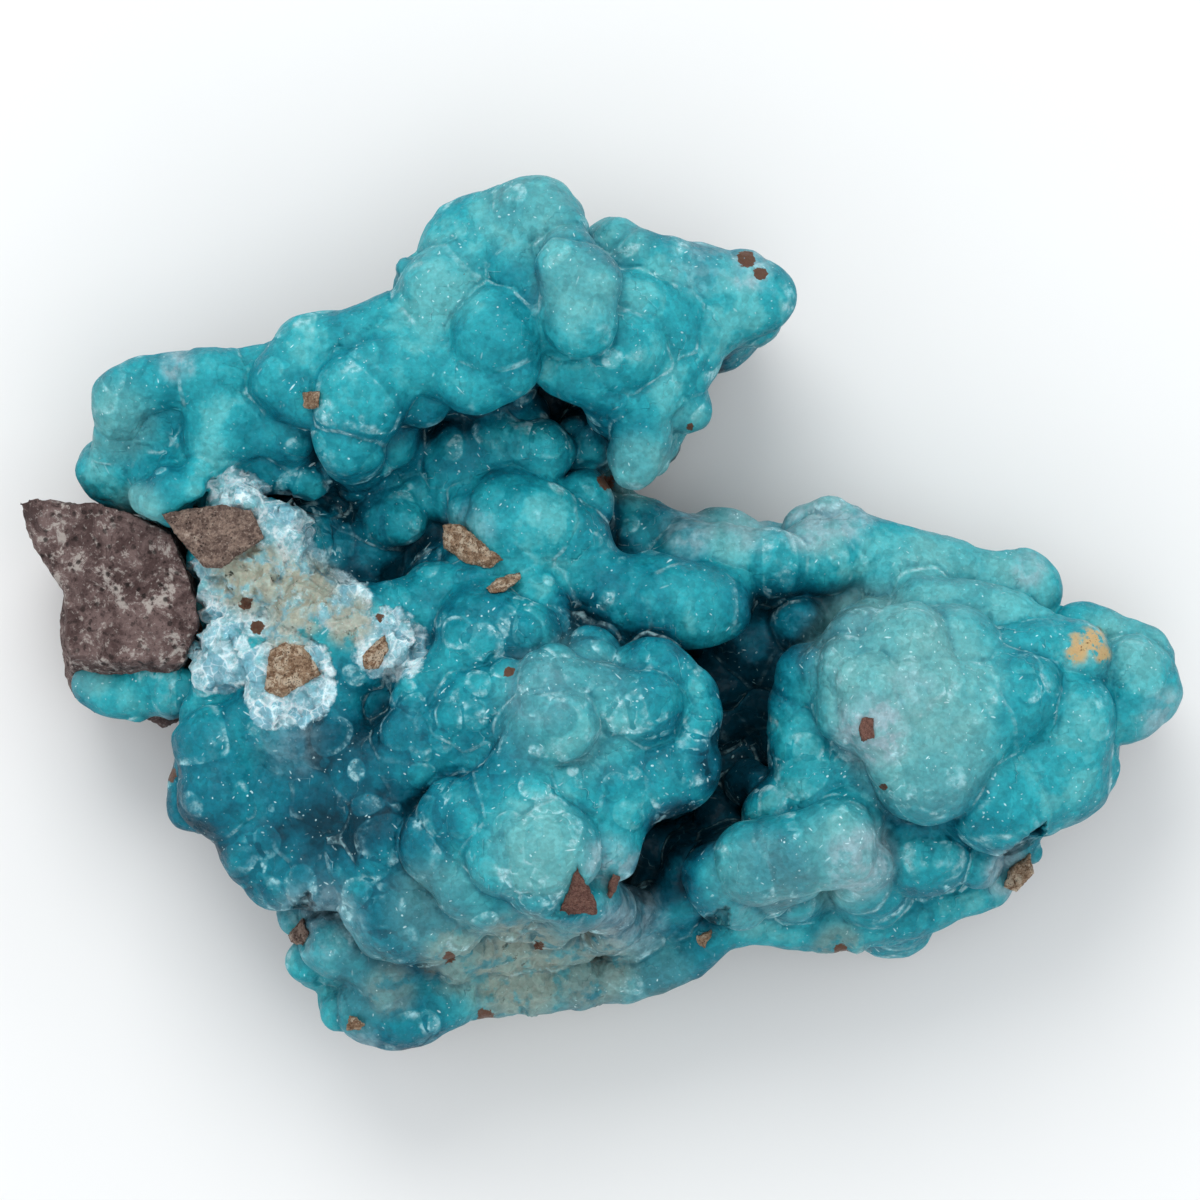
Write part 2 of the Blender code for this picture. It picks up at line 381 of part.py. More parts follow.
def crust_mesh(balls, name, collection, material):
    """One mesh of overlapping balls, each u, v, height of the centre, radius, and the masses under them."""
    points, faces = unit_ball(BALL_DETAIL)
    middles = np.array([place(u, v, height)[:] for u, v, height, radius in balls])
    radii = np.array([ball[3] for ball in balls]) * MM
    verts = (middles[:, None, :] + radii[:, None, None] * points[None, :, :]).reshape(-1, 3)
    offsets = np.arange(len(balls)) * len(points)
    triangles = (faces[None, :, :] + offsets[:, None, None]).reshape(-1, 3)
    verts = verts.tolist()
    triangles = triangles.tolist()
    for top, corners in ROCK_BLOCKS:
        fill_verts, fill_faces = hull_arrays(fill_points(top, corners))
        start = len(verts)
        verts.extend(fill_verts)
        triangles.extend([index + start for index in face] for face in fill_faces)
    mesh = bpy.data.meshes.new(name)
    mesh.from_pydata(verts, [], triangles)
    obj = bpy.data.objects.new(name, mesh)
    collection.objects.link(obj)
    obj.data.materials.append(material)
    return obj


def link_mesh(bm, name, collection, material):
    mesh = bpy.data.meshes.new(name)
    bm.to_mesh(mesh)
    bm.free()
    obj = bpy.data.objects.new(name, mesh)
    collection.objects.link(obj)
    if material:
        obj.data.materials.append(material)
    return obj


def bake(obj):
    """Turn the object as its modifiers leave it into plain mesh."""
    bpy.context.view_layer.update()
    depsgraph = bpy.context.evaluated_depsgraph_get()
    mesh = bpy.data.meshes.new_from_object(obj.evaluated_get(depsgraph))
    obj.modifiers.clear()
    old = obj.data
    obj.data = mesh
    mesh.name = obj.name
    bpy.data.meshes.remove(old)


def keep_main_shell(obj):
    """Remove the small closed shells that stay in hidden hollows between lumps."""
    bm = bmesh.new()
    bm.from_mesh(obj.data)
    unseen = set(bm.verts)
    shells = []
    while unseen:
        stack = [unseen.pop()]
        shell = []
        while stack:
            vert = stack.pop()
            shell.append(vert)
            for edge in vert.link_edges:
                other = edge.other_vert(vert)
                if other in unseen:
                    unseen.remove(other)
                    stack.append(other)
        shells.append(shell)
    shells.sort(key=len)
    for shell in shells[:-1]:
        bmesh.ops.delete(bm, geom=shell, context="VERTS")
    bm.to_mesh(obj.data)
    bm.free()


def shade_smooth(obj):
    for face in obj.data.polygons:
        face.use_smooth = True


def cut(obj, cutter, name, solver):
    modifier = obj.modifiers.new(name, "BOOLEAN")
    modifier.operation = "DIFFERENCE"
    modifier.solver = solver
    modifier.object = cutter


def as_cutter(obj):
    obj.hide_render = True
    obj.display_type = "WIRE"


def build_crust(collection, material):
    chance = random.Random(7)
    balls = []
    for group in SURFACE:
        for lump in group:
            balls.extend(lump_column(lump, chance))
    balls.extend(web_balls())
    for core in CORE:
        balls.extend(core_column(core))
    crust = crust_mesh(balls, "smithsonite_crust", collection, material)
    remesh = crust.modifiers.new("fuse", "REMESH")
    remesh.mode = "VOXEL"
    remesh.voxel_size = CRUST_VOXEL * MM
    remesh.use_smooth_shade = True
    soften = crust.modifiers.new("soften", "SMOOTH")
    soften.factor = CRUST_SMOOTH_FACTOR
    soften.iterations = CRUST_SMOOTH_STEPS
    reduce = crust.modifiers.new("reduce", "DECIMATE")
    reduce.decimate_type = "COLLAPSE"
    reduce.ratio = CRUST_TRIANGLES_KEPT
    reduce.use_collapse_triangulate = True
    bake(crust)
    keep_main_shell(crust)
    return crust


def hull_object(points, name, collection, material):
    verts, faces = hull_arrays(points)
    mesh = bpy.data.meshes.new(name)
    mesh.from_pydata(verts, [], faces)
    obj = bpy.data.objects.new(name, mesh)
    collection.objects.link(obj)
    if material:
        obj.data.materials.append(material)
    return obj


def block_points(top, corners, chance):
    middle_u = sum(corner[0] for corner in corners) / len(corners)
    middle_v = sum(corner[1] for corner in corners) / len(corners)
    points = []
    for u, v in corners:
        points.append((u, v, top * chance.uniform(*BLOCK_SHOULDER)))
        in_u = u + (middle_u - u) * chance.uniform(*BLOCK_INSET)
        in_v = v + (middle_v - v) * chance.uniform(*BLOCK_INSET)
        points.append((in_u, in_v, top + chance.uniform(-BLOCK_UNEVEN, BLOCK_UNEVEN)))
        points.append((in_u, in_v, -ROCK_BOTTOM_ROOM))
    return points


def build_rock(collection, cutters, material):
    chance = random.Random(11)
    rock = hull_object(KNOB, "matrix_rock", collection, material)
    pieces = [
        hull_object(KNOB_LOWER, "rock_lower", cutters, None),
        hull_object(KNOB_SIDE, "rock_side", cutters, None),
    ]
    for number, (top, corners) in enumerate(ROCK_BLOCKS):
        points = block_points(top, corners, chance)
        pieces.append(hull_object(points, "rock_block_%d" % number, cutters, None))
    for piece in pieces:
        as_cutter(piece)
        join = rock.modifiers.new("join", "BOOLEAN")
        join.operation = "UNION"
        join.solver = "EXACT"
        join.object = piece
    bm = bmesh.new()
    bmesh.ops.create_cube(bm, size=FLOOR_CUTTER_SIZE * MM)
    bmesh.ops.translate(bm, verts=bm.verts, vec=Vector((0.0, 0.0, -0.5 * FLOOR_CUTTER_SIZE * MM)))
    floor = link_mesh(bm, "floor_cutter", cutters, None)
    as_cutter(floor)
    cut(rock, floor, "flat_underside", "EXACT")
    bake(rock)
    return rock


def grown_copy(obj, name, distance, collection):
    copy = bpy.data.objects.new(name, obj.data.copy())
    collection.objects.link(copy)
    grow = copy.modifiers.new("grow", "DISPLACE")
    grow.strength = distance * MM
    grow.mid_level = 0.0
    grow.direction = "NORMAL"
    bake(copy)
    as_cutter(copy)
    return copy


def chip_points(top, rise, depth, corners, chance, growth):
    """Corners of an angular chip: a face, a waist and a narrower foot, all grown outward by a distance."""
    middle_u = sum(corner[0] for corner in corners) / len(corners)
    middle_v = sum(corner[1] for corner in corners) / len(corners)
    points = []
    for u, v in corners:
        away = Vector((u - middle_u, v - middle_v))
        out = away.normalized() * growth
        level = top + away.x * rise[0] + away.y * rise[1]
        rim = level - depth * chance.uniform(*CHIP_RIM)
        points.append((u + out.x, v + out.y, rim))
        points.append((u + out.x, v + out.y, level - depth * CHIP_WAIST))
        face = away * CHIP_FACE
        face_level = top + face.x * rise[0] + face.y * rise[1] + growth
        points.append((middle_u + face.x, middle_v + face.y, face_level))
        foot = away * CHIP_FOOT + out
        points.append((middle_u + foot.x, middle_v + foot.y, top - depth - growth))
    return points


def build_chips(collection, cutters, material):
    chips = []
    pockets = []
    for number, (name, top, rise, depth, corners) in enumerate(CHIPS):
        points = chip_points(top, rise, depth, corners, random.Random(number), 0.0)
        chips.append(hull_object(points, name, collection, material))
        wide = chip_points(top, rise, depth, corners, random.Random(number), CHIP_FIT_GAP)
        pocket = hull_object(wide, name + "_pocket", cutters, None)
        as_cutter(pocket)
        pockets.append(pocket)
    return chips, pockets


def main():
    clear_scene()
    parts = make_collection("smithsonite")
    cutters = make_collection("cutters")
    crust_look = make_material("smithsonite_blue_green", *CRUST_LOOK)
    rock_look = make_material("host_rock_brown", *ROCK_LOOK)
    chip_look = make_material("chip_tan", *CHIP_LOOK)
    crust = build_crust(parts, crust_look)
    rock = build_rock(parts, cutters, rock_look)
    chips, pockets = build_chips(parts, cutters, chip_look)
    cut(crust, grown_copy(rock, "rock_pocket", ROCK_FIT_GAP, cutters), "rock_pocket", "MANIFOLD")
    for pocket in pockets:
        cut(crust, pocket, pocket.name, "MANIFOLD")
    bake(crust)
    shade_smooth(crust)


main()
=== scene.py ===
import math
import random

import bmesh
import bpy
import numpy as np
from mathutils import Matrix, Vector
from mathutils import noise


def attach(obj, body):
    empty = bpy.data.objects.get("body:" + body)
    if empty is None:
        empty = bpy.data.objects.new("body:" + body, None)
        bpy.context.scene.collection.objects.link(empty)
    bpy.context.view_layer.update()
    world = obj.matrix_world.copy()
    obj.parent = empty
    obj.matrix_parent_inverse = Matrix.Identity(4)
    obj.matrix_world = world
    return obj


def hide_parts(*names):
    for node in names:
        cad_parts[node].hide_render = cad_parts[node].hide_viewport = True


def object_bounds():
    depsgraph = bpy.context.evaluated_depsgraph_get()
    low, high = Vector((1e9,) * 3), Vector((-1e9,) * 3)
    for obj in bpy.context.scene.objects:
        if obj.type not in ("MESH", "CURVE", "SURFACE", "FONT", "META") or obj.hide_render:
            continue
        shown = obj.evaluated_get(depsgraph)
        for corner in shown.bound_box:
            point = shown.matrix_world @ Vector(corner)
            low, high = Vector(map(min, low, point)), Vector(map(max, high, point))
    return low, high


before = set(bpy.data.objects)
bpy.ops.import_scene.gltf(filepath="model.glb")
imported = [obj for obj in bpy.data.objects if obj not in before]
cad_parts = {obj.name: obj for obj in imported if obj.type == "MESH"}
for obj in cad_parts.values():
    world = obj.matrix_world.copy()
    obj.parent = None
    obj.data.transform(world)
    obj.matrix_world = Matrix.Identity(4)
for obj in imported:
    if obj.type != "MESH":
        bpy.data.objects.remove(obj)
CAD_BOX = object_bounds()

MM = 0.001

# Plan, as in the part: places in mm from the left and upper edges of a 120 mm square, heights over the floor.
PLAN_MIDDLE_U = 60.2
PLAN_MIDDLE_V = 61.3
CRUST_BASE = 3.6

# Crust.
LUMP_STEP = 0.95
LUMP_SMALLEST = 2.2
LUMP_LARGEST = 5.4
LUMP_DRIFT = 0.55
LUMP_SWAY = 1.1
CORE_STEP = 0.7
FILL_RISE = 4.0
FILL_SPREAD = 1.12
SLAB_TOP = 10.0
WEB_REACH = 0.88
WEB_NEAREST = 0.25
WEB_STEP = 2.4
WEB_SINK = 0.45
WEB_SIZE = 0.95
VOXEL = 0.485
BASE_VOXEL = 0.70
BASE_BLEND = 0.62
BLEND = 0.22
HIDDEN_CUT = 0.80
BASE_SHRINK = 0.82
PEBBLE_SPACE = 2.0
PEBBLE_LEAST = 0.5
PEBBLE_SMALLEST = 2.0
PEBBLE_LARGEST = 5.2
PEBBLE_LIFT = (0.25, 1.15)
SMOOTH_LEFT = 0.15
BOX_ROOM = 0.02
SOCKET_DEPTH = 0.75
SOCKET_SLOPE = 2.2
SOCKET_REACH = 1.6
BALL_DETAIL = 2
COLUMN_SEED = 7
PEBBLE_SEED = 21
PEBBLE_FACING = -0.35
SETTLE_REACH = 2.4
FACET_SIZE = 2.6
FACET_SEED = 5
GRIT_SIZE = 1.2
GRIT_SEED = 6
BROKEN_FROM = 21.0
BROKEN_FULL = 25.0
TINT_SEED = 5
SMALL_TINT_SEED = 6

# Roughness of the rock and of its chips: voxel, depth and size of the bumps, in mm.
ROCK_ROUGHNESS = (0.5, 1.1, 4.0)
CHIP_ROUGHNESS = (0.16, 0.45, 0.85)

# Lumps of the crust: u, v, height of the summit, radius.
TOWER = [
    (53.6, 21.8, 35, 4.7), (56.2, 22.8, 36, 3), (45.4, 24.6, 32, 4), (48.9, 23.4, 33, 4.9),
    (44.3, 29.4, 35.5, 5.1), (40.6, 26.8, 31, 1.5), (41.6, 32.5, 33, 4.2), (49.7, 33.4, 39.5, 5),
    (47.5, 38.4, 37, 3.7), (50.4, 36.6, 37.5, 3.9), (44.8, 36.4, 35.5, 4.2), (58.2, 32.5, 41.5, 3.9),
    (56.2, 26.8, 41, 3.1), (58.7, 28, 41.5, 3.8), (57, 25.4, 38.5, 3.2), (51.6, 27.3, 36.5, 2.6),
    (50, 24.8, 34.5, 3), (53.4, 30.6, 37, 3.4), (46.5, 27, 34, 3.2),
]
SHOULDER = [
    (61.6, 23.7, 29.5, 2.6), (64.2, 26, 31, 3.2), (67.2, 27.6, 31.5, 3.8), (71, 28.6, 31, 4.2),
    (75.4, 30.2, 30.5, 3.6), (77, 29.7, 29.5, 2.8), (74, 26.8, 28.5, 2.2), (70, 33.4, 31.5, 3.9),
    (66, 32.5, 34, 4.8), (62.2, 35, 37, 4.9), (63.5, 31, 35, 4), (67.3, 36.8, 32, 3.8),
    (64.5, 39.3, 33.5, 3.9), (68, 40.9, 30, 3.15), (64.2, 43.6, 32.5, 3.3), (63.5, 46.6, 31.5, 2.8),
    (58.4, 37.4, 35.5, 3.6), (61, 38.6, 34.5, 3), (55.6, 37.2, 34, 2.6),
]
LEFT_LOBE = [
    (9.3, 47.1, 22, 2.1), (10.9, 44, 25, 2.1), (11.6, 41.3, 27, 2.5), (12.3, 39.2, 28, 2.7),
    (14.9, 38, 28.5, 2.9), (17.8, 37.8, 28, 2.8), (21.2, 37.9, 30, 3.6), (21.5, 43.8, 30, 3.6),
    (24.2, 42.6, 29.5, 3.8), (27.8, 38, 33, 3.3), (31.2, 35.4, 33, 4.2), (36.2, 39.8, 36.5, 5.3),
    (34.8, 44.6, 34.5, 3.6), (30.6, 39.8, 33.5, 3.4), (29, 43.5, 29.5, 3.6), (35.4, 33.7, 33, 3.2),
    (40, 32, 32.5, 2.7), (38, 34, 32.5, 2.8), (39.6, 36.2, 35.5, 4), (42.2, 39.6, 32.5, 3.6),
    (26.2, 36.3, 28, 2.5), (26.4, 46, 27, 3.4), (30.8, 47.3, 26, 2.8),
]
RECESS = [
    (39.6, 44.6, 28, 2.6), (45.6, 46, 26, 4), (49.6, 44.6, 27, 4), (54.4, 45.2, 28, 3.3),
    (52, 41.8, 25, 3.4), (58.6, 43.8, 24, 3.6), (42.2, 48.6, 23.5, 2.4), (38.6, 51.4, 25, 3.6),
    (40.6, 52.3, 26, 2), (36.8, 55.8, 23, 3.2), (41, 56.4, 21, 3), (33.2, 51.4, 20, 3), (35, 49, 21, 2.6),
    (45, 50.4, 25, 2.4), (43.6, 53.6, 22, 2.6), (57.2, 48, 22, 2.8), (32.6, 56.6, 20, 2.8),
]
MIDDLE = [
    (50.8, 51.2, 31, 4.6), (54, 52.2, 31.5, 4.2), (57, 53.6, 29.5, 4.4), (58.6, 50.2, 27, 3.4),
    (47.2, 51.2, 28, 2.8), (48.4, 52.8, 30.3, 1.3), (47, 56.6, 29, 2.6), (51, 56, 30.5, 2.8),
    (43.6, 60.4, 31.5, 4.3), (48.2, 62.4, 35.5, 4.9), (46.6, 65.2, 36, 3.6), (53.4, 60.2, 31.5, 4),
    (52.6, 64, 35.5, 3.8), (56.6, 58.4, 28, 3), (47.5, 58, 31.5, 2.6),
]
BACK_RIDGE = [
    (62.6, 52.6, 20, 3.8), (65.6, 53.4, 20.5, 3.2), (63.4, 53.9, 21.3, 1.3), (69, 55.4, 24, 3.9),
    (73, 55.8, 24.5, 3.8), (77.3, 56.4, 25, 3.8), (83, 56.2, 23.5, 3.7), (88.6, 58.2, 23, 2.7),
    (81, 54.4, 22.5, 3), (85.8, 54, 22, 3.1), (90.6, 55, 22, 3.2), (95.5, 56.6, 22, 3.3),
    (100.4, 58.2, 22, 3.4), (103.8, 58.9, 21.5, 3.2), (91, 57.5, 23, 2.6), (108.2, 62.4, 22.5, 3),
    (112.6, 64.2, 23, 2.8), (72.8, 53, 18.5, 2.5), (75.4, 53.8, 18.5, 2), (80, 52.4, 19.5, 2.3),
    (83, 51.8, 20, 2.4), (102.6, 56.5, 20, 1.8), (68.8, 53.6, 19.5, 2.3),
]
FINGER = [
    (61.6, 59, 28.5, 3.6), (63.8, 60.4, 29.5, 3.9), (67.4, 60.4, 30.5, 4.2), (70.6, 60.7, 30, 4.1),
    (72.4, 61, 28.5, 3.4), (60, 62.6, 26.5, 2.8), (59.2, 57.6, 28.5, 3.2), (66, 58.2, 28.5, 3),
    (65.6, 62.6, 28, 2.8),
]
ARM = [
    (86, 64, 33, 3.9), (90.6, 65.2, 35.5, 5.4), (95.4, 64.8, 33, 4.8), (96.2, 60.6, 27.5, 3.4),
    (92.4, 60.8, 28, 3.2), (101, 62.4, 27.5, 4), (85.3, 67.2, 36, 3.9), (86.4, 68.2, 38, 3.1),
    (87.2, 72.3, 38.5, 3.3), (84.4, 71.4, 35, 3.2), (92, 69.6, 37, 4.6), (80.2, 67.3, 31, 3.2),
    (82.4, 67.6, 32.5, 3), (80.9, 73.4, 30, 4.6), (76, 78.3, 24, 2.4), (82.4, 78.6, 31, 5.2),
    (78.4, 81.4, 29.5, 4.6), (87.6, 78, 31.5, 4.4), (71.1, 87.4, 33, 3.6), (75.2, 86.4, 35, 4.2),
    (79.4, 85.4, 36, 4.4), (83.8, 83.4, 36, 3.9), (85.2, 86, 35, 2.7), (72.4, 90.2, 31.5, 2.8),
    (93, 76.4, 37, 6.3), (97, 71.6, 36, 5.8), (101.6, 69.8, 34.6, 5.2), (107.4, 71.4, 32, 4.6),
    (107.4, 65.8, 29.5, 4.3), (102.6, 65.6, 30.5, 4.2), (113.4, 66.8, 27, 3.8), (115.6, 69.3, 25, 3.3),
    (115.2, 64.6, 23, 2.4), (112.6, 71, 26.5, 4), (105.2, 76.6, 31.2, 6.8), (109.2, 76.8, 27.5, 3.4),
    (99.8, 79.8, 33, 5.8), (92.4, 85, 28.5, 5.2), (97.7, 85.9, 25, 2.8), (87.4, 88.6, 25.5, 3.6),
    (68.6, 86.2, 24, 2.6),
]
LEDGE = [
    (75.8, 92.3, 22, 2.8), (79.8, 92.6, 21.5, 3), (83.2, 93, 21, 3), (86.6, 92, 21, 3.2),
    (90.4, 91.3, 21, 2.9), (93.6, 90.9, 20, 2.9), (98, 89.4, 19, 2.6), (100.8, 87, 18, 2.2),
    (80, 89.8, 25, 3), (102, 85, 20, 2),
]
BODY = [
    (60, 69.8, 40, 4), (65.4, 67.9, 37, 4.4), (67.9, 70, 35.5, 3.9), (64.8, 70.6, 40, 3.8),
    (69, 73.2, 36.5, 3.1), (66.8, 76.7, 37, 5.2), (61.6, 78.6, 38, 5.4), (56.5, 72.4, 42.5, 3.7),
    (53, 73, 41.5, 3.6), (55.4, 69, 40.5, 4.3), (51.2, 69.4, 38.5, 3.6), (47, 71, 38.5, 4.6),
    (43, 69.6, 36, 4), (45, 75, 36.5, 2.9), (41, 73.8, 36.5, 3.4), (41, 77, 35.5, 3.2),
    (51.8, 79.6, 41.5, 4.6), (46.5, 81.4, 40, 4.2), (43.4, 84.6, 38, 3.5), (46.6, 88.6, 38.5, 3.6),
    (50.4, 85.4, 41.5, 4.4), (55.2, 84.8, 43.5, 5.2), (54.8, 89, 41, 3.4), (60.6, 84.2, 38.5, 3.6),
    (61.8, 86, 37, 2.2), (40.2, 90.8, 34, 5.9), (44.6, 91.6, 33.5, 4.6), (57, 79, 39.5, 3.8),
    (61, 74.6, 38, 3.4), (48.6, 75.6, 37, 2.8), (38.4, 66.8, 31, 3), (58.6, 66.4, 36, 2.8),
    (50.6, 90.2, 37, 3.4), (58.8, 90.4, 37.6, 2.6), (56.6, 90, 39, 2.8), (37.2, 69.6, 30.5, 3),
]
BODY_LEFT = [
    (21.4, 74.6, 31.5, 4.1), (21.8, 79.6, 32, 4.5), (18.9, 80.8, 27, 3), (25.4, 83.8, 30, 4),
    (28.3, 87, 30, 4.2), (31.8, 87.8, 31.5, 3.6), (28.8, 74, 33, 3), (32.2, 79.4, 32.4, 4),
    (34.6, 80.8, 32.5, 3.4), (36.2, 86.6, 33, 4), (38.4, 83.6, 35.4, 4), (33.4, 73.6, 33.5, 3.6),
    (37, 77.6, 34.4, 3.8), (28.6, 79.6, 31, 3.8), (30.6, 83.6, 31.2, 3.8), (20.2, 71.4, 28, 2.8),
    (25.4, 72.4, 31.6, 3.4), (27, 69.8, 31, 2.6), (19.4, 76.4, 27, 2.6),
]
FOOT = [
    (33.4, 94.4, 25, 3.8), (30.4, 96.4, 21, 2.4), (28.9, 92.2, 20, 1.8), (32.6, 91.6, 22, 2.6),
    (33.4, 101.6, 20.5, 2.3), (36.8, 101.2, 23, 3.8), (40.4, 101.2, 24, 4.2), (44.2, 100, 24, 3.5),
    (38.6, 97, 25.5, 3.6), (48.6, 98.6, 22, 3.8), (53.4, 99.2, 21.5, 3.1), (57.8, 98.4, 21, 3.1),
    (62.6, 98.2, 20.5, 2.8), (66.2, 97.2, 20.5, 2.6), (69.8, 95.4, 21, 2.6), (71.4, 93.4, 22, 2.4),
    (63.4, 92, 24, 2.4), (66.6, 91.8, 23, 1.5), (67, 89.4, 24, 2.2), (69.6, 90.4, 24.5, 1.7),
    (46, 95.4, 27, 3.2), (50.6, 94.2, 25, 3.4), (56, 94, 24.5, 3.2), (60.6, 92.6, 25, 3),
]
WELL = [
    (75, 64.6, 21, 4.4), (71.8, 68, 19.5, 3.6), (76.2, 69.8, 17, 4), (73.4, 76, 13, 4), (80, 62.6, 22, 3.4),
    (84.6, 60.8, 21.5, 3.2), (69, 82, 14, 3.2), (65.2, 84.8, 20, 2.6), (78, 66, 20, 3.4),
    (78.6, 74, 16, 3.6), (72, 72, 16, 3.4), (65, 88.4, 19, 2.4), (71.8, 81.4, 19, 2.6),
]
BREAK = [
    (15.4, 50.4, 31, 2), (17.6, 49.2, 31.5, 2), (19.9, 48.6, 31.5, 1.5), (23.6, 50.4, 30, 3),
    (28, 52.6, 30.5, 3), (22.4, 54.8, 31, 2.8), (26.6, 57.8, 31, 4), (31.8, 61.6, 32, 4.2),
    (36.4, 64.2, 33.6, 5.2), (38.6, 61.4, 32, 3.4), (23.9, 64.4, 31, 3.6), (28.8, 66.4, 32, 4),
    (33.6, 68.4, 33, 3.4), (27.6, 70.4, 33, 2.6), (21.6, 67.4, 29.5, 2.4), (23.8, 59.8, 28.5, 3.2),
    (20.6, 55.6, 28, 2), (22.4, 59.2, 28.5, 2.3), (22.3, 62.6, 28.5, 2.3), (17.4, 51.6, 29, 1.8),
]
RIND = [
    (8.8, 68.4, 21, 2.2), (10.8, 69.3, 22, 2.8), (13.4, 69.4, 22.5, 2.8), (15.6, 68.6, 23, 2.4),
    (18, 69, 24.5, 2.6),
]
HOLLOW = [
    (10.8, 47.4, 23, 2.4), (13.6, 46.2, 23.6, 3.4), (16.8, 44.6, 24.6, 4), (14.6, 42.4, 24.6, 3.2),
    (18, 41.4, 25.6, 3), (11.6, 49, 21, 2.2), (14.2, 48.8, 22.6, 2.8), (17.6, 47.4, 24.6, 3.2),
    (21, 46.8, 25.6, 3),
]
SURFACE = [
    TOWER, SHOULDER, LEFT_LOBE, RECESS, MIDDLE, BACK_RIDGE, FINGER, ARM, LEDGE, BODY, BODY_LEFT, FOOT, WELL,
    BREAK, RIND, HOLLOW,
]

# Masses under the lumps, which carry them.
CORE = [
    (51, 28, 31, 8.5), (47, 34, 31, 8.5), (57, 31, 35, 7), (64, 34, 29, 7.5), (70.5, 31.2, 27, 4.6),
    (64.5, 42, 27, 4), (38, 38, 31, 7), (30.5, 40, 27, 6), (22, 42, 24, 6), (14.5, 43.5, 20, 4),
    (49, 46, 20.5, 8), (39, 49, 16.5, 7), (55, 52, 24, 7), (47.5, 60, 28, 8), (57.5, 61, 21, 7),
    (66, 60, 24, 6), (30, 57, 25, 8), (34, 64, 28, 7.5), (24, 62, 24, 6.5), (47, 71, 33, 9),
    (57, 72, 35.5, 9), (64.5, 73, 32.5, 6.5), (36, 75, 27, 9), (26.5, 76.5, 25.5, 7.5), (47, 82, 34.5, 9),
    (57, 82, 36, 7.5), (35, 84, 26.5, 8.5), (42, 91, 28, 7), (51.5, 88.5, 33.5, 6), (29.5, 83.5, 24, 5.5),
    (40, 97, 20, 6), (54, 94, 19, 5.5), (64, 93, 18, 4.5), (70, 57, 17.5, 5), (80, 58, 17, 5),
    (90, 60, 20, 5.5), (100, 63, 22, 5.5), (91, 67, 31, 7.5), (84, 70, 28, 6.5), (97, 72, 31, 8),
    (106, 70, 25.5, 7), (111.4, 68.4, 21.5, 4), (92, 79, 29.5, 8), (83.5, 80, 27, 7), (101.5, 77, 25.5, 7),
    (77, 86.5, 28, 5), (86, 87, 24, 5.5), (93, 85.5, 21, 5), (73.5, 68, 9.5, 6), (70.5, 80, 10, 5),
]

ROCK_BLOCKS = [
    (SLAB_TOP, [(14, 46), (30, 40), (42, 41), (46, 60), (40, 78), (24, 80), (17, 68)]),
    (SLAB_TOP + 1.5, [(38, 38), (52, 26), (64, 28), (68, 38), (62, 48), (58, 62), (44, 60)]),
    (SLAB_TOP - 1.5, [(42, 56), (66, 58), (70, 72), (62, 90), (46, 96), (34, 90), (34, 70)]),
    (SLAB_TOP - 3.0, [(62, 60), (90, 60), (98, 70), (92, 84), (72, 88), (60, 80)]),
    (SLAB_TOP + 0.5, [(86, 62), (104, 64), (111, 69), (108, 76), (98, 84), (84, 82)]),
    (SLAB_TOP - 1.0, [(24, 74), (40, 74), (46, 98), (38, 100), (30, 88)]),
]

# Chips of the rock: name, height in the middle of the face, its rise per mm along u and v, depth, corners.
CHIPS = [
    ("matrix_chip_upper", 31.3, (0, 0), 4,
     [(16, 51.3), (18, 51.6), (22.2, 50.4), (25.3, 51.1), (26.6, 53.8), (23.5, 54.9), (22.2, 57),
      (20.4, 56.8), (18, 54)]),
    ("matrix_chip_left", 32.9, (0, 0), 4,
     [(27, 65), (28.5, 64.1), (30.6, 64.5), (32.3, 67.4), (30, 68.8), (28.3, 69.9), (26.4, 69)]),
    ("matrix_chip_orange", 33.9, (0, 0), 3,
     [(36.9, 64.6), (38.6, 63.4), (39.1, 65), (38, 66.9), (36.4, 67.1), (36.3, 65.6)]),
    ("matrix_chip_tan", 30, (0.6, 0), 4.2,
     [(44.2, 52.4), (46, 52.3), (48.4, 54.4), (50.5, 56), (49, 57), (46.4, 56.4), (44.3, 54.8)]),
    ("matrix_chip_tan_small", 32.3, (0, 1.2), 3,
     [(48.5, 58.8), (50, 57.6), (52.1, 57.1), (52.3, 57.9), (50.5, 59.2), (49, 59.4)]),
    ("matrix_chip_square", 34.5, (1.2, 0), 2.8,
     [(30.3, 39.1), (32.2, 39.2), (32.1, 41), (30.4, 41)]),
    ("matrix_chip_red", 38.5, (0, 0), 2.8,
     [(86, 71.6), (87.3, 71.7), (87.3, 73.8), (86, 74.2), (85.6, 72.8)]),
    ("matrix_chip_lower", 39.7, (0, -0.8), 5,
     [(57.7, 86.2), (55.8, 91), (56.8, 91.4), (59.8, 91.3), (59.7, 90), (58.9, 88.4)]),
    ("matrix_chip_lower_small", 37.4, (0, -1), 5,
     [(60.6, 89.4), (60.8, 88), (61.3, 87.2), (62.1, 87.5), (61.6, 89), (60.9, 90)]),
    ("matrix_chip_right", 19.6, (0, 0), 5,
     [(101, 86.8), (103.2, 85.2), (103.6, 87.4), (101.8, 89.4), (100.4, 88.8)]),
    ("matrix_chip_foot", 22.1, (0, 0), 4,
     [(69.5, 93.6), (71.3, 92.8), (71.3, 93.6), (70.5, 95), (69.8, 94.6)]),
    ("matrix_chip_mauve", 21.7, (1, 0), 4.5,
     [(28.6, 93.6), (29.7, 92.5), (30.3, 91.7), (31, 93.4), (30.3, 94.8), (29, 94.4)]),
    ("matrix_chip_heel", 22.8, (0, 0), 4,
     [(34.5, 102.6), (34.9, 101.5), (35.8, 101.6), (36.6, 102.5), (36, 103.2), (34.6, 103.2)]),
]


def place(u, v, z):
    return ((u - PLAN_MIDDLE_U) * MM, (PLAN_MIDDLE_V - v) * MM, z * MM)


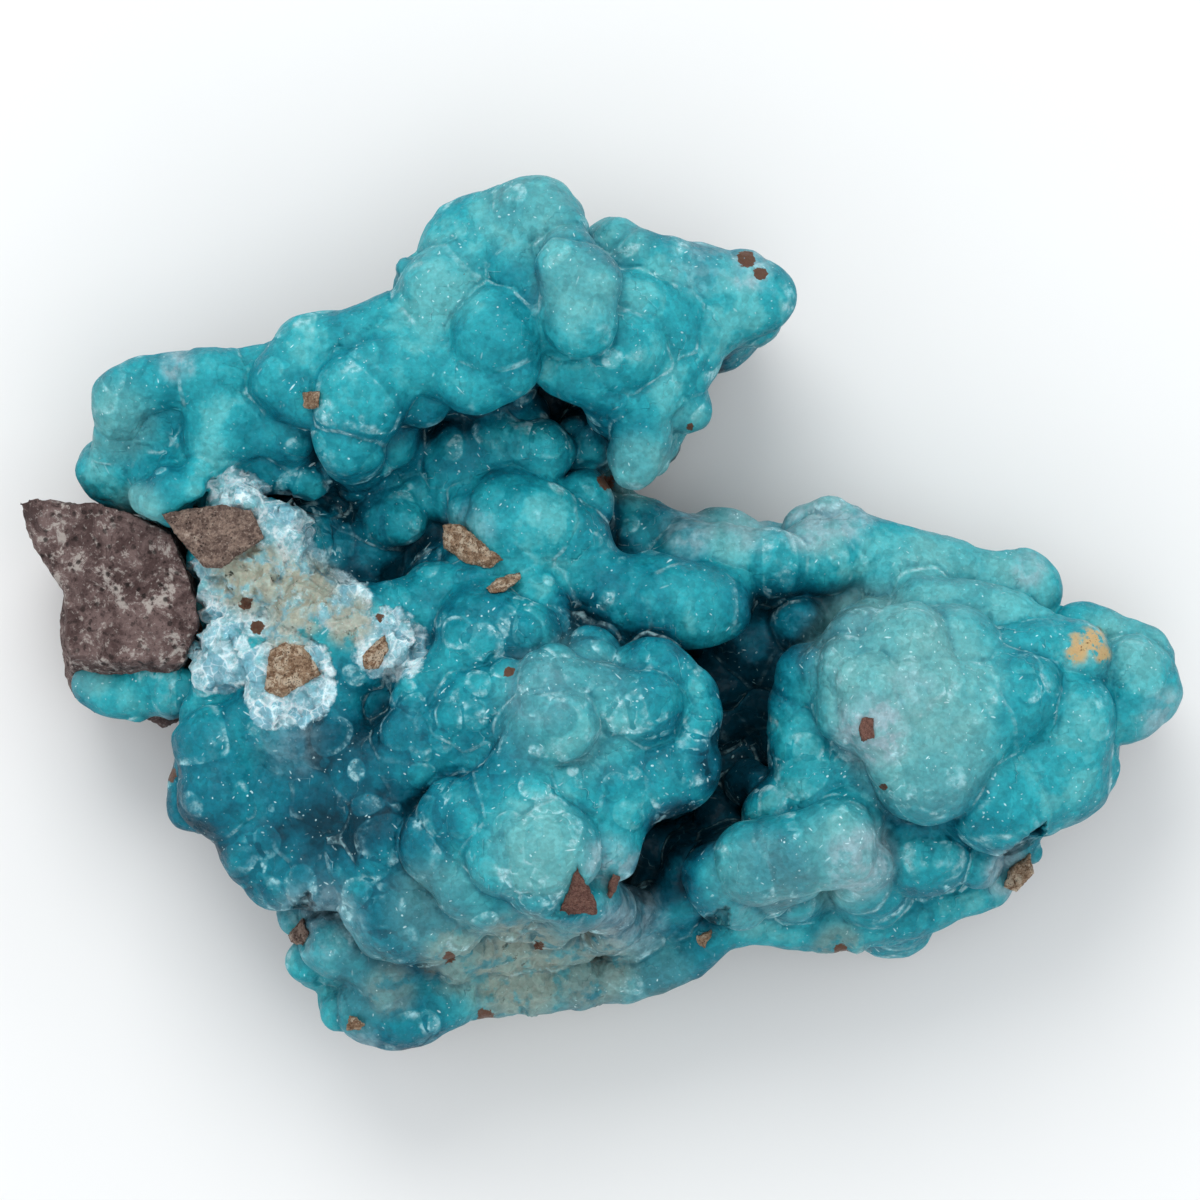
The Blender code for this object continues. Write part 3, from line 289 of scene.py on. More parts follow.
# ---- Balls that make up the crust.
def nearest_core(u, v):
    return min(CORE, key=lambda core: (core[0] - u) ** 2 + (core[1] - v) ** 2)


def lump_column(lump, chance):
    """Balls from a lump's summit down to the underside of the crust: u, v, height of the centre, radius."""
    u, v, top, radius = lump
    core_u, core_v = nearest_core(u, v)[:2]
    inward = Vector((core_u - u, core_v - v))
    inward = inward.normalized() if inward.length > 0.5 else Vector((0.0, 0.0))
    reach = radius
    depth = 0.0
    sway = 0.0
    balls = []
    height = top - radius
    while height - radius > CRUST_BASE:
        in_by = depth + max(0.0, radius - reach)
        ball_u = u + inward.x * in_by - inward.y * sway
        ball_v = v + inward.y * in_by + inward.x * sway
        balls.append((ball_u, ball_v, height, radius))
        height -= LUMP_STEP * radius * chance.uniform(0.8, 1.15)
        radius = min(LUMP_LARGEST, max(LUMP_SMALLEST, radius * chance.uniform(0.82, 1.2)))
        depth += LUMP_DRIFT * chance.uniform(0.3, 1.7)
        sway = chance.uniform(-LUMP_SWAY, LUMP_SWAY)
    in_by = depth + max(0.0, radius - reach)
    balls.append((u + inward.x * in_by, v + inward.y * in_by, CRUST_BASE + radius, radius))
    return balls


def web_balls():
    """Balls between neighbouring lumps of like height, which keep the valleys between them shallow."""
    lumps = [lump for group in SURFACE if group is not WELL for lump in group]
    balls = []
    for index, (u, v, top, radius) in enumerate(lumps):
        for other_u, other_v, other_top, other_radius in lumps[index + 1:]:
            apart = math.hypot(other_u - u, other_v - v)
            both = radius + other_radius
            if apart > WEB_REACH * both or apart < WEB_NEAREST * both or abs(top - other_top) > WEB_STEP:
                continue
            half = 0.5 * both
            valley = half - math.sqrt(max(half * half - 0.25 * apart * apart, 0.0))
            summit = 0.5 * (top + other_top) - WEB_SINK * valley
            size = WEB_SIZE * half
            balls.append((0.5 * (u + other_u), 0.5 * (v + other_v), summit - size, size))
    return balls


def core_column(core):
    u, v, top, radius = core
    balls = []
    height = top - radius
    while height - radius > CRUST_BASE:
        balls.append((u, v, height, radius))
        height -= CORE_STEP * radius
    balls.append((u, v, CRUST_BASE + radius, radius))
    return balls


def all_balls():
    """Every ball in metres as centre and radius, the number of its lump, and each lump's summit height."""
    chance = random.Random(COLUMN_SEED)
    balls = []
    owner = []
    tops = []
    for group in SURFACE:
        for lump in group:
            column = lump_column(lump, chance)
            balls.extend(column)
            owner.extend([len(tops)] * len(column))
            tops.append(lump[2] + 0.001 * len(tops))
    webs = web_balls()
    balls.extend(webs)
    owner.extend([-1] * len(webs))
    for core in CORE:
        column = core_column(core)
        balls.extend(column)
        owner.extend([-1] * len(column))
    centres = np.array([place(u, v, height) for u, v, height, radius in balls])
    radii = np.array([ball[3] for ball in balls]) * MM
    return centres, radii, np.array(owner), np.array(tops)


def unit_ball(detail):
    bm = bmesh.new()
    bmesh.ops.create_icosphere(bm, subdivisions=detail, radius=1.0)
    points = np.array([vert.co[:] for vert in bm.verts])
    faces = np.array([[vert.index for vert in face.verts] for face in bm.faces])
    bm.free()
    return points, faces


def hull_arrays(points):
    bm = bmesh.new()
    for point in points:
        bm.verts.new(place(*point))
    made = bmesh.ops.convex_hull(bm, input=bm.verts)
    inside = [item for item in made["geom_interior"] if isinstance(item, bmesh.types.BMVert)]
    bmesh.ops.delete(bm, geom=inside, context="VERTS")
    bmesh.ops.recalc_face_normals(bm, faces=bm.faces)
    bm.verts.index_update()
    verts = [vert.co[:] for vert in bm.verts]
    faces = [[vert.index for vert in face.verts] for face in bm.faces]
    bm.free()
    return verts, faces


def fill_points(top, corners):
    middle_u = sum(corner[0] for corner in corners) / len(corners)
    middle_v = sum(corner[1] for corner in corners) / len(corners)
    points = []
    for u, v in corners:
        wide_u = middle_u + (u - middle_u) * FILL_SPREAD
        wide_v = middle_v + (v - middle_v) * FILL_SPREAD
        points.append((wide_u, wide_v, CRUST_BASE))
        points.append((u, v, top + FILL_RISE))
    return points


def make_object(name, verts, faces):
    mesh = bpy.data.meshes.new(name)
    mesh.from_pydata(verts, [], faces)
    obj = bpy.data.objects.new(name, mesh)
    bpy.context.scene.collection.objects.link(obj)
    return obj


def apply_all(obj):
    """Turn the object as its modifiers leave it into plain mesh."""
    bpy.context.view_layer.update()
    depsgraph = bpy.context.evaluated_depsgraph_get()
    mesh = bpy.data.meshes.new_from_object(obj.evaluated_get(depsgraph))
    obj.modifiers.clear()
    old = obj.data
    obj.data = mesh
    mesh.name = obj.name
    bpy.data.meshes.remove(old)


def remeshed(obj, voxel):
    """The object's shape as one closed skin of small even faces."""
    fuse = obj.modifiers.new("fuse", "REMESH")
    fuse.mode = "VOXEL"
    fuse.voxel_size = voxel * MM
    fuse.use_smooth_shade = True
    apply_all(obj)
    return obj


def get_points(mesh):
    flat = np.empty(len(mesh.vertices) * 3)
    mesh.vertices.foreach_get("co", flat)
    return flat.reshape(-1, 3)


def set_points(mesh, points):
    mesh.vertices.foreach_set("co", points.ravel())
    mesh.update()


def get_normals(mesh):
    flat = np.empty(len(mesh.vertices) * 3)
    mesh.vertex_normals.foreach_get("vector", flat)
    return flat.reshape(-1, 3)


# ---- Distance to the fused balls.
CELL = 7.0 * MM
ROOM = 3.6 * MM
FAR = 20.0 * MM


def cells_of(points):
    """Indices of the points in each cell of a coarse grid."""
    keys = np.floor(points / CELL).astype(np.int64)
    order = np.lexsort((keys[:, 2], keys[:, 1], keys[:, 0]))
    ordered = keys[order]
    breaks = np.flatnonzero(np.any(np.diff(ordered, axis=0) != 0, axis=1)) + 1
    return np.split(order, breaks)


def balls_near(here, centres, radii):
    """Indices of the balls whose skin comes near the box round the points."""
    low, high = here.min(axis=0), here.max(axis=0)
    outside = np.maximum(np.maximum(low - centres, centres - high), 0.0)
    return np.flatnonzero(np.sqrt((outside ** 2).sum(axis=1)) - radii < ROOM)


def fused_distance(points, centres, radii, blend):
    """Signed distance to the softly fused balls, and its slope."""
    distance = np.full(len(points), FAR)
    slope = np.zeros((len(points), 3))
    for chosen in cells_of(points):
        here = points[chosen]
        near = balls_near(here, centres, radii)
        if len(near) == 0:
            continue
        offset = here[:, None, :] - centres[None, near, :]
        length = np.sqrt((offset ** 2).sum(axis=2)) + 1e-9
        gap = length - radii[None, near]
        least = gap.min(axis=1)
        weight = np.exp(-(gap - least[:, None]) / (blend * MM))
        total = weight.sum(axis=1)
        distance[chosen] = least - blend * MM * np.log(total)
        weight /= total[:, None]
        slope[chosen] = (weight[:, :, None] * offset / length[:, :, None]).sum(axis=1)
    return distance, slope


def lump_edges(points, centres, radii, owner, tops):
    """Distance to the next lump's edge, above 0 on the higher lump, the step there and the lump's number."""
    edge = np.full(len(points), FAR)
    step = np.zeros(len(points))
    lump = np.zeros(len(points), np.int64)
    owned = np.flatnonzero(owner >= 0)
    owned = owned[np.argsort(owner[owned], kind="stable")]
    centres, radii, owner = centres[owned], radii[owned], owner[owned]
    for chosen in cells_of(points):
        here = points[chosen]
        near = balls_near(here, centres, radii)
        if len(near) == 0:
            continue
        offset = here[:, None, :] - centres[None, near, :]
        gap = np.sqrt((offset ** 2).sum(axis=2)) - radii[None, near]
        starts = np.flatnonzero(np.diff(owner[near], prepend=-1))
        lumps = owner[near][starts]
        gap = np.minimum.reduceat(gap, starts, axis=1)
        rows = np.arange(len(here))
        first = gap.argmin(axis=1)
        least = gap[rows, first]
        lump[chosen] = lumps[first]
        if len(lumps) > 1:
            gap[rows, first] = FAR
            second = gap.argmin(axis=1)
            rise = tops[lumps[first]] - tops[lumps[second]]
            edge[chosen] = (gap[rows, second] - least) * np.sign(rise)
            step[chosen] = np.abs(rise)
    return edge / MM, step, lump


def arrays_of(mesh):
    faces = np.empty(len(mesh.polygons) * 4, np.int64)
    mesh.polygons.foreach_get("vertices", faces)
    return get_points(mesh), faces.reshape(-1, 4)


def pebbles(points, normals, base):
    """Small lumps spread over the skin of the large ones: centres, radii and how far each stands out."""
    chance = np.random.default_rng(PEBBLE_SEED)
    order = chance.permutation(len(points))
    space = PEBBLE_SPACE * MM
    taken = {}
    chosen = []
    for index in order:
        if normals[index, 2] < PEBBLE_FACING:
            continue
        point = points[index]
        i, j, k = (int(number // space) for number in point)
        around = (taken.get((i + a - 1, j + b - 1, k + c - 1)) for a, b, c in np.ndindex(3, 3, 3))
        if any(other is not None and ((point - other) ** 2).sum() < space * space for other in around):
            continue
        taken[(i, j, k)] = point
        chosen.append(index)
    count = len(chosen)
    size = PEBBLE_SMALLEST + (PEBBLE_LARGEST - PEBBLE_SMALLEST) * chance.random(count) ** 1.5
    lift = chance.uniform(*PEBBLE_LIFT, count) * np.minimum(1.0, 0.4 + 0.2 * size)
    rough = soft_step(-0.45, 0.30, clouds(points[chosen], 16.0, 9))
    lift *= 0.30 + 0.70 * rough
    lift *= 1.0 - (1.0 - SMOOTH_LEFT) * patches(points[chosen], SMOOTH)
    middles = points[chosen] + normals[chosen] * ((lift - size) * MM)[:, None]
    room = lift - fused_distance(middles, *base, BASE_BLEND)[0] / MM
    kept = room > PEBBLE_LEAST
    return middles[kept], np.minimum(size, room)[kept] * MM, lift[kept]


def skin_distance(points, base, small):
    """Signed distance to the soft base with the small lumps on it, and its slope."""
    base_distance, base_slope = fused_distance(points, *base, BASE_BLEND)
    small_distance, small_slope = fused_distance(points, *small, BLEND)
    blend = BLEND * MM
    least = np.minimum(base_distance, small_distance)
    base_weight = np.exp(-(base_distance - least) / blend)
    small_weight = np.exp(-(small_distance - least) / blend)
    total = base_weight + small_weight
    slope = (base_slope * base_weight[:, None] + small_slope * small_weight[:, None]) / total[:, None]
    return least - blend * np.log(total), slope


def pebble_edges(points, base, small, lift):
    """Distance to the rim of a small lump, above 0 on it and below 0 beside it, and its number."""
    base_distance = fused_distance(points, *base, BASE_BLEND)[0]
    centres, radii = small
    edge = np.full(len(points), -FAR)
    pebble = np.zeros(len(points), np.int64)
    for chosen in cells_of(points):
        here = points[chosen]
        near = balls_near(here, centres, radii)
        if len(near) < 2:
            continue
        offset = here[:, None, :] - centres[None, near, :]
        gap = np.sqrt((offset ** 2).sum(axis=2)) - radii[None, near]
        rows = np.arange(len(here))
        first = gap.argmin(axis=1)
        least = gap[rows, first]
        gap[rows, first] = FAR
        second = gap.argmin(axis=1)
        next_gap = gap[rows, second]
        ground = base_distance[chosen]
        higher = lift[near[first]] > lift[near[second]]
        to_next = np.where(higher, next_gap - least, least - next_gap)
        beside = np.where(next_gap < ground, to_next, ground - least)
        edge[chosen] = np.where(least < ground, beside, ground - least)
        pebble[chosen] = near[first]
    return edge / MM, pebble


def settle(points, distance_of, steps):
    """Move points of the skin onto the surface where the distance is 0. Points far from it stay."""
    for step in range(steps):
        distance, slope = distance_of(points)
        size = np.maximum((slope ** 2).sum(axis=1), 0.25)
        close = np.abs(distance) < SETTLE_REACH * MM
        move = np.where(close, distance / size, 0.0)
        points = points - slope * move[:, None]
    return points


# ---- Height of the crust over the plan, blurred, which tells hollows from summits for the painted shade in the hollows.
GRID = 0.5
GRID_SIZE = 240


def height_grid(centres, radii):
    side = np.arange(GRID_SIZE) * GRID + GRID / 2
    u, v = np.meshgrid(side, side)
    x = (u - PLAN_MIDDLE_U) * MM
    y = (PLAN_MIDDLE_V - v) * MM
    heights = np.zeros((GRID_SIZE, GRID_SIZE))
    for (cx, cy, cz), radius in zip(centres, radii):
        left = int(((cx - radius) / MM + PLAN_MIDDLE_U) / GRID)
        right = int(((cx + radius) / MM + PLAN_MIDDLE_U) / GRID) + 2
        upper = int((PLAN_MIDDLE_V - (cy + radius) / MM) / GRID)
        lower = int((PLAN_MIDDLE_V - (cy - radius) / MM) / GRID) + 2
        rows = slice(max(0, upper), lower)
        columns = slice(max(0, left), right)
        inside = radius ** 2 - (x[rows, columns] - cx) ** 2 - (y[rows, columns] - cy) ** 2
        top = np.where(inside > 0, cz + np.sqrt(np.maximum(inside, 0.0)), 0.0)
        heights[rows, columns] = np.maximum(heights[rows, columns], top)
    return heights / MM


def blurred(grid, reach):
    """Box-blurred twice, over reach mm."""
    half = max(1, int(reach / GRID / 2))
    for turn in range(2):
        for axis in (0, 1):
            pad = [(0, 0), (0, 0)]
            pad[axis] = (half + 1, half)
            total = np.cumsum(np.pad(grid, pad, mode="edge"), axis=axis)
            width = 2 * half + 1
            size = grid.shape[axis]
            ends = np.take(total, range(width, size + width), axis)
            grid = (ends - np.take(total, range(size), axis)) / width
    return grid


def sample(grid, points):
    u = points[:, 0] / MM + PLAN_MIDDLE_U
    v = PLAN_MIDDLE_V - points[:, 1] / MM
    column = np.clip(u / GRID - 0.5, 0, GRID_SIZE - 1.001)
    row = np.clip(v / GRID - 0.5, 0, GRID_SIZE - 1.001)
    c0, r0 = column.astype(int), row.astype(int)
    fc, fr = column - c0, row - r0
    return (grid[r0, c0] * (1 - fc) * (1 - fr) + grid[r0, c0 + 1] * fc * (1 - fr)
            + grid[r0 + 1, c0] * (1 - fc) * fr + grid[r0 + 1, c0 + 1] * fc * fr)


def soft_step(low, high, value):
    part = np.clip((value - low) / (high - low), 0.0, 1.0)
    return part * part * (3 - 2 * part)


def patches(points, spots):
    """How strongly each point lies in soft round patches, each u, v, radius in mm and strength."""
    u = points[:, 0] / MM + PLAN_MIDDLE_U
    v = PLAN_MIDDLE_V - points[:, 1] / MM
    total = np.zeros(len(points))
    for spot_u, spot_v, radius, strength in spots:
        far = np.hypot(u - spot_u, v - spot_v) / radius
        total = np.maximum(total, strength * (1 - soft_step(0.55, 1.15, far)))
    return total


def add_values(mesh, name, values):
    layer = mesh.attributes.new(name, "FLOAT", "POINT")
    layer.data.foreach_set("value", values.astype(np.float32))


# Patches of the crust that differ in colour, and patches of painted shade: u, v, radius, strength.
MINT = [
    (89, 66, 9, 0.9), (92, 74, 8, 0.95), (86, 70, 5, 0.8), (84, 86, 6, 0.7), (76, 88, 6, 0.5),
    (93, 68, 8, 0.6), (54, 85, 6, 0.65), (44, 91, 6, 0.5), (57, 71, 8, 0.40), (64, 47, 4, 0.8),
    (9, 67.5, 2.5, 0.6), (69, 44, 4, 0.35), (11, 42, 5, 0.6), (53, 21, 6, 0.5), (58, 29, 5, 0.55),
    (44, 28, 5, 0.3), (62, 23, 4, 0.5), (96, 57, 7, 0.5), (82, 52, 4, 0.8), (73, 52, 4, 0.8),
    (14, 51, 3, 0.8), (65, 98, 5, 0.45), (36, 98, 5, 0.35), (52, 97, 8, 0.4), (102, 57, 3, 0.5),
    (113, 64, 5, 0.4),
]
LAVENDER = [
    (87, 73, 4, 1), (86, 86, 4, 0.8), (29, 74, 4, 0.25), (61, 86, 3, 0.7), (54, 69, 4, 0.2),
    (91, 69, 3, 0.35), (32, 92, 5, 0.4), (63, 92, 4, 0.5), (47, 53, 3, 0.3), (70, 26, 4, 0.3),
    (69, 53, 3, 0.6), (75, 52.5, 3, 0.5), (81, 52, 3.5, 0.7), (85, 51.5, 3, 0.7), (75, 27, 2.5, 0.8),
    (117, 72, 3.5, 0.6), (101, 87.5, 3, 0.7), (17.8, 36.4, 2, 0.8), (36, 104, 2, 0.5), (103, 57, 2, 0.6),
]
# Painted shade: patches where the crust is painted darker because it lies in shade, on low fronts and in
# recesses.
SHADE_PATCHES = [
    (44, 44, 6, 0.30), (37, 54, 6, 0.28), (75, 68, 5, 0.4), (73, 76, 5, 0.7), (79, 62, 6, 0.48),
    (84, 61, 4, 0.4), (68, 83, 4, 0.8), (58, 62, 4, 0.40), (36, 69, 5, 0.35), (57, 41, 5, 0.15),
    (66, 88, 4, 0.6), (50, 45, 7, 0.15), (22, 79, 9, 0.42), (33, 79, 10, 0.70), (30, 86, 8, 0.50),
    (41, 90, 7, 0.40), (46, 74, 8, 0.35), (68, 75, 6, 0.3), (40, 100, 8, 0.38), (55, 97, 9, 0.3),
    (66, 95, 8, 0.40), (64, 66, 6, 0.3), (15, 45, 5, 0.22), (62, 55, 6, 0.2), (73, 57, 8, 0.1),
    (80, 57, 8, 0.1), (86, 90, 9, 0.06), (35, 46, 5, 0.28), (28, 45, 6, 0.25), (38, 74, 6, 0.5),
    (42, 82, 5, 0.45), (90, 90, 6, 0.08), (58, 67, 4, 0.3), (62, 62, 4, 0.2), (48, 64, 6, 0.30),
    (54, 69, 6, 0.25), (50, 34, 5, 0.22), (52, 29, 3, 0.3), (11, 69, 6, 0.12), (77, 87, 5, 0.40),
    (45, 50, 3, 0.3), (26, 72, 5, 0.3), (44, 57, 5, 0.25), (60, 76, 4, 0.2), (52, 75, 3, 0.3),
    (98, 84, 8, 0.15), (62, 41, 4, 0.25),
]
BROKEN = [
    (24, 50, 3.6, 1), (28, 53, 4, 1), (27, 58, 7, 1), (21, 62, 3.4, 1), (22, 66, 4, 1), (29, 68, 5.5, 1),
    (39, 64.5, 4.5, 0.8), (34, 60, 4, 0.8), (20.5, 57.5, 2.5, 0.8), (27, 71, 2.5, 0.8),
]
BEIGE = [
    (25, 57.5, 4.5, 1), (30, 59.5, 4.5, 1), (35, 62, 3, 0.9), (52, 97, 6, 0.7), (46, 96, 4, 0.5),
    (84, 95, 3, 0.4), (29, 63, 3, 0.8), (59, 97, 5, 0.5), (39, 99, 3, 0.3),
]
# Tiny bits of the brown rock that show through.
RUST = [
    (25.8, 62.7, 0.9, 1), (24.6, 60.4, 0.8, 1), (19.7, 62.9, 0.7, 1), (38.1, 61.8, 0.6, 1),
    (17, 77.4, 0.9, 1), (48.5, 101.8, 1.1, 1), (84.2, 95.2, 0.9, 1), (51, 67.1, 0.6, 1), (69, 42.7, 0.5, 1),
    (60.6, 48.2, 1, 1), (74.6, 26, 1.1, 1), (76, 27.4, 0.8, 1), (45, 95.6, 0.7, 1), (54, 94.6, 0.6, 1),
    (88.2, 78.6, 0.4, 1),
]
STAIN = [(109.2, 64.0, 1.5, 1.0), (107.6, 65.2, 1.3, 1.0), (110.2, 65.4, 1.0, 1.0), (107.4, 63.8, 0.7, 0.9)]
# Places where the skin is smooth, with few small lumps.
SMOOTH = [
    (14, 45, 6, 1), (19, 42, 4, 0.6), (67, 31, 7, 0.8), (73, 30, 6, 0.6), (66, 38, 5, 0.6),
    (97, 57, 7, 0.9), (88, 56, 6, 0.8), (106, 61, 6, 0.8), (77, 56, 6, 0.6), (70, 55, 5, 0.5),
    (106, 75, 8, 0.7), (112, 68, 7, 0.7), (98, 62, 6, 0.7), (96, 76, 8, 0.5), (43, 94, 6, 0.6),
    (11, 69, 4, 0.8), (58, 30, 6, 0.75), (50, 34, 6, 0.85), (37, 40, 5, 0.6), (69, 60, 5, 0.5),
    (53, 21, 5, 0.5),
]


def cells(points, size, seed):
    """Irregular cells in space: the offset in mm from the cell's seed, and three chances of the cell."""
    table = np.random.default_rng(seed).random((64, 64, 64, 6)).astype(np.float32)
    scaled = points / (size * MM)
    base = np.floor(scaled).astype(int)
    count = len(points)
    first = np.full(count, 9.0)
    offset = np.zeros((count, 3))
    chances = np.zeros((count, 3))
    for step in np.ndindex(3, 3, 3):
        cell = base + np.array(step) - 1
        picked = table[tuple(np.mod(cell, 64).T)]
        away = scaled - cell - picked[:, :3]
        far = np.sqrt((away ** 2).sum(axis=1))
        closer = far < first
        first = np.where(closer, far, first)
        offset[closer] = away[closer]
        chances[closer] = picked[closer, 3:]
    return offset * size, chances


def clouds(points, scale, seed):
    """Soft noise from about -1 to 1, scale in mm."""
    shift = Vector((seed * 7.3, seed * 3.1, seed * 5.7))
    return np.array([noise.noise(Vector(point) / (scale * MM) + shift) for point in points])


def thin_hidden(obj):
    """Fewer faces where the crust faces the floor or its own flanks."""
    normals = get_normals(obj.data)
    points = get_points(obj.data)
    hidden = soft_step(0.1, -0.3, normals[:, 2]) + soft_step(12.0, 7.0, points[:, 2] / MM)
    group = obj.vertex_groups.new(name="hidden")
    for step in range(1, 5):
        chosen = np.flatnonzero((hidden > (step - 1) / 4) & (hidden <= step / 4 + (step == 4)))
        group.add([int(index) for index in chosen], step / 4, "REPLACE")
    reduce = obj.modifiers.new("reduce", "DECIMATE")
    reduce.ratio = 1.0 - HIDDEN_CUT * float(np.minimum(hidden, 1.0).mean())
    reduce.vertex_group = "hidden"
    reduce.vertex_group_factor = 8.0
    apply_all(obj)
    obj.vertex_groups.clear()


def ball_arrays(centres, radii):
    ball, triangles = unit_ball(BALL_DETAIL)
    verts = (centres[:, None, :] + radii[:, None, None] * ball[None, :, :]).reshape(-1, 3)
    offsets = np.arange(len(radii)) * len(ball)
    faces = (triangles[None, :, :] + offsets[:, None, None]).reshape(-1, 3)
    return verts.tolist(), faces.tolist()


def base_skin(base):
    """The large lumps and the masses between them, fused softly into one closed skin."""
    verts, faces = ball_arrays(*base)
    for top, corners in ROCK_BLOCKS:
        more_verts, more_faces = hull_arrays(fill_points(top, corners))
        start = len(verts)
        verts.extend(more_verts)
        faces.extend([index + start for index in face] for face in more_faces)
    skin = remeshed(make_object("base", verts, faces), BASE_VOXEL)
    points = settle(get_points(skin.data), lambda places: fused_distance(places, *base, BASE_BLEND), 3)
    set_points(skin.data, points)
    return skin


def with_pebbles(skin, small):
    """The base skin and the small lumps on it as one closed skin."""
    verts, faces = arrays_of(skin.data)
    more_verts, more_faces = ball_arrays(*small)
    start = len(verts)
    verts = verts.tolist() + more_verts
    faces = faces.tolist() + [[index + start for index in face] for face in more_faces]
    bpy.data.objects.remove(skin, do_unlink=True)
    return remeshed(make_object("crust", verts, faces), VOXEL)


def relief(points, edge, step, broken):
    """How far each point of the crust stands out, in mm: creases, low swells and flat crystal faces."""
    crease = -0.22 * np.exp(-(edge / 0.5) ** 2) * soft_step(0.8, 2.6, step)
    smooth = 0.30 * clouds(points, 4.5, 2) + 0.14 * clouds(points, 1.5, 3) + crease
    facet_offset, facet_chances = cells(points, FACET_SIZE, FACET_SEED)
    facet = (facet_offset * (facet_chances - 0.5)).sum(axis=1) * 1.1 + (facet_chances[:, 0] - 0.6) * 0.9
    grit_offset, grit_chances = cells(points, GRIT_SIZE, GRIT_SEED)
    facet += (grit_offset * (grit_chances - 0.5)).sum(axis=1) * 0.8
    return smooth * (1.0 - broken) + np.clip(facet, -1.3, 1.0) * broken


def warped(points, amount, scale, seed):
    """The points moved a little by soft noise, so that edges drawn between lumps wander."""
    return points + amount * MM * np.stack([clouds(points, scale, seed + turn) for turn in range(3)], axis=1)


def outside_of(corners, u, v):
    """Distance in plan from a polygon's edges, below 0 inside, for corners that turn one way."""
    turn = sum(a[0] * b[1] - b[0] * a[1] for a, b in zip(corners, corners[1:] + corners[:1]))
    far = np.full(len(u), -99.0)
    for (u0, v0), (u1, v1) in zip(corners, corners[1:] + corners[:1]):
        length = math.hypot(u1 - u0, v1 - v0)
        across = ((u - u0) * (v1 - v0) - (v - v0) * (u1 - u0)) / length * math.copysign(1.0, turn)
        far = np.maximum(far, across)
    return far


def with_sockets(points):
    """Lower the crust where a chip of rock lies in it, so that the chip stands just out of it."""
    u = points[:, 0] / MM + PLAN_MIDDLE_U
    v = PLAN_MIDDLE_V - points[:, 1] / MM
    height = points[:, 2] / MM
    for name, top, rise, depth, corners in CHIPS:
        middle_u = sum(corner[0] for corner in corners) / len(corners)
        middle_v = sum(corner[1] for corner in corners) / len(corners)
        far = outside_of(corners, u, v)
        level = top + (u - middle_u) * rise[0] + (v - middle_v) * rise[1]
        limit = level - SOCKET_DEPTH + np.maximum(far, 0.0) * SOCKET_SLOPE
        near = (far < SOCKET_REACH) & (height > level - depth)
        height = np.where(near, np.minimum(height, limit), height)
    return np.stack([points[:, 0], points[:, 1], height * MM], axis=1)


def build_crust():
    centres, radii, owner, tops = all_balls()
    base = (centres, radii - BASE_SHRINK * MM)
    skin = base_skin(base)
    small_centres, small_radii, lift = pebbles(get_points(skin.data), get_normals(skin.data), base)
    small = (small_centres, small_radii)
    crust = with_pebbles(skin, small)
    thin_hidden(crust)
    mesh = crust.data
    points = settle(get_points(mesh), lambda places: skin_distance(places, base, small), 2)
    set_points(mesh, points)
    normals = get_normals(mesh)
    wandering = warped(points, 0.35, 2.4, 11)
    edge, step, lump = lump_edges(wandering, centres, radii, owner, tops)
    small_edge, pebble = pebble_edges(warped(points, 0.12, 1.1, 15), base, small, lift)
    height = points[:, 2] / MM
    broken = patches(points, BROKEN) * soft_step(BROKEN_FROM, BROKEN_FULL, height)
    ragged = np.maximum(broken, 0.7 * patches(points, BEIGE))
    points = points + normals * (relief(points, edge, step, ragged) * MM)[:, None]
    points = with_sockets(points)
    points[:, 2] = np.maximum(points[:, 2], (CRUST_BASE + 0.05) * MM)
    low, high = (np.array(corner) for corner in CAD_BOX)
    points = np.clip(points, low + BOX_ROOM * MM, high - BOX_ROOM * MM)
    set_points(mesh, points)
    # Painted shade: 0 on tops facing up, rising to 1 on steep flanks, which the material paints darker.
    flank_shade = soft_step(0.93, 0.20, get_normals(mesh)[:, 2])
    height = points[:, 2] / MM
    # Painted shade: how far each point lies below the blurred crust around it, so valleys and hollows are
    # painted darker.
    grid = height_grid(np.concatenate([base[0], small[0]]), np.concatenate([base[1], small[1]]))
    valley = soft_step(-0.4, 2.0, sample(blurred(grid, 3.0), points) - height)
    near_hollow = soft_step(-0.5, 4.5, sample(blurred(grid, 7.0), points) - height)
    far_hollow = soft_step(1.0, 12.0, sample(blurred(grid, 16.0), points) - height)
    add_values(mesh, "hollow_shade", 0.3 * valley + 0.3 * near_hollow + 0.4 * far_hollow)
    add_values(mesh, "flank_shade", flank_shade)
    add_values(mesh, "edge", np.clip(edge, -4.0, 4.0))
    add_values(mesh, "step", soft_step(0.5, 2.6, step))
    add_values(mesh, "small_edge", np.clip(small_edge, -2.0, 2.0))
    add_values(mesh, "small_step", soft_step(0.05, 0.50, lift[pebble]))
    add_values(mesh, "tint", np.random.default_rng(TINT_SEED).random(len(tops))[lump])
    add_values(mesh, "small_tint", np.random.default_rng(SMALL_TINT_SEED).random(len(lift))[pebble])
    add_values(mesh, "broken", broken)
    spots = {"mint": MINT, "lavender": LAVENDER, "painted_shade": SHADE_PATCHES, "beige": BEIGE, "stain": STAIN, "rust": RUST}
    for name, places in spots.items():
        add_values(mesh, name, patches(points, places))
    return crust


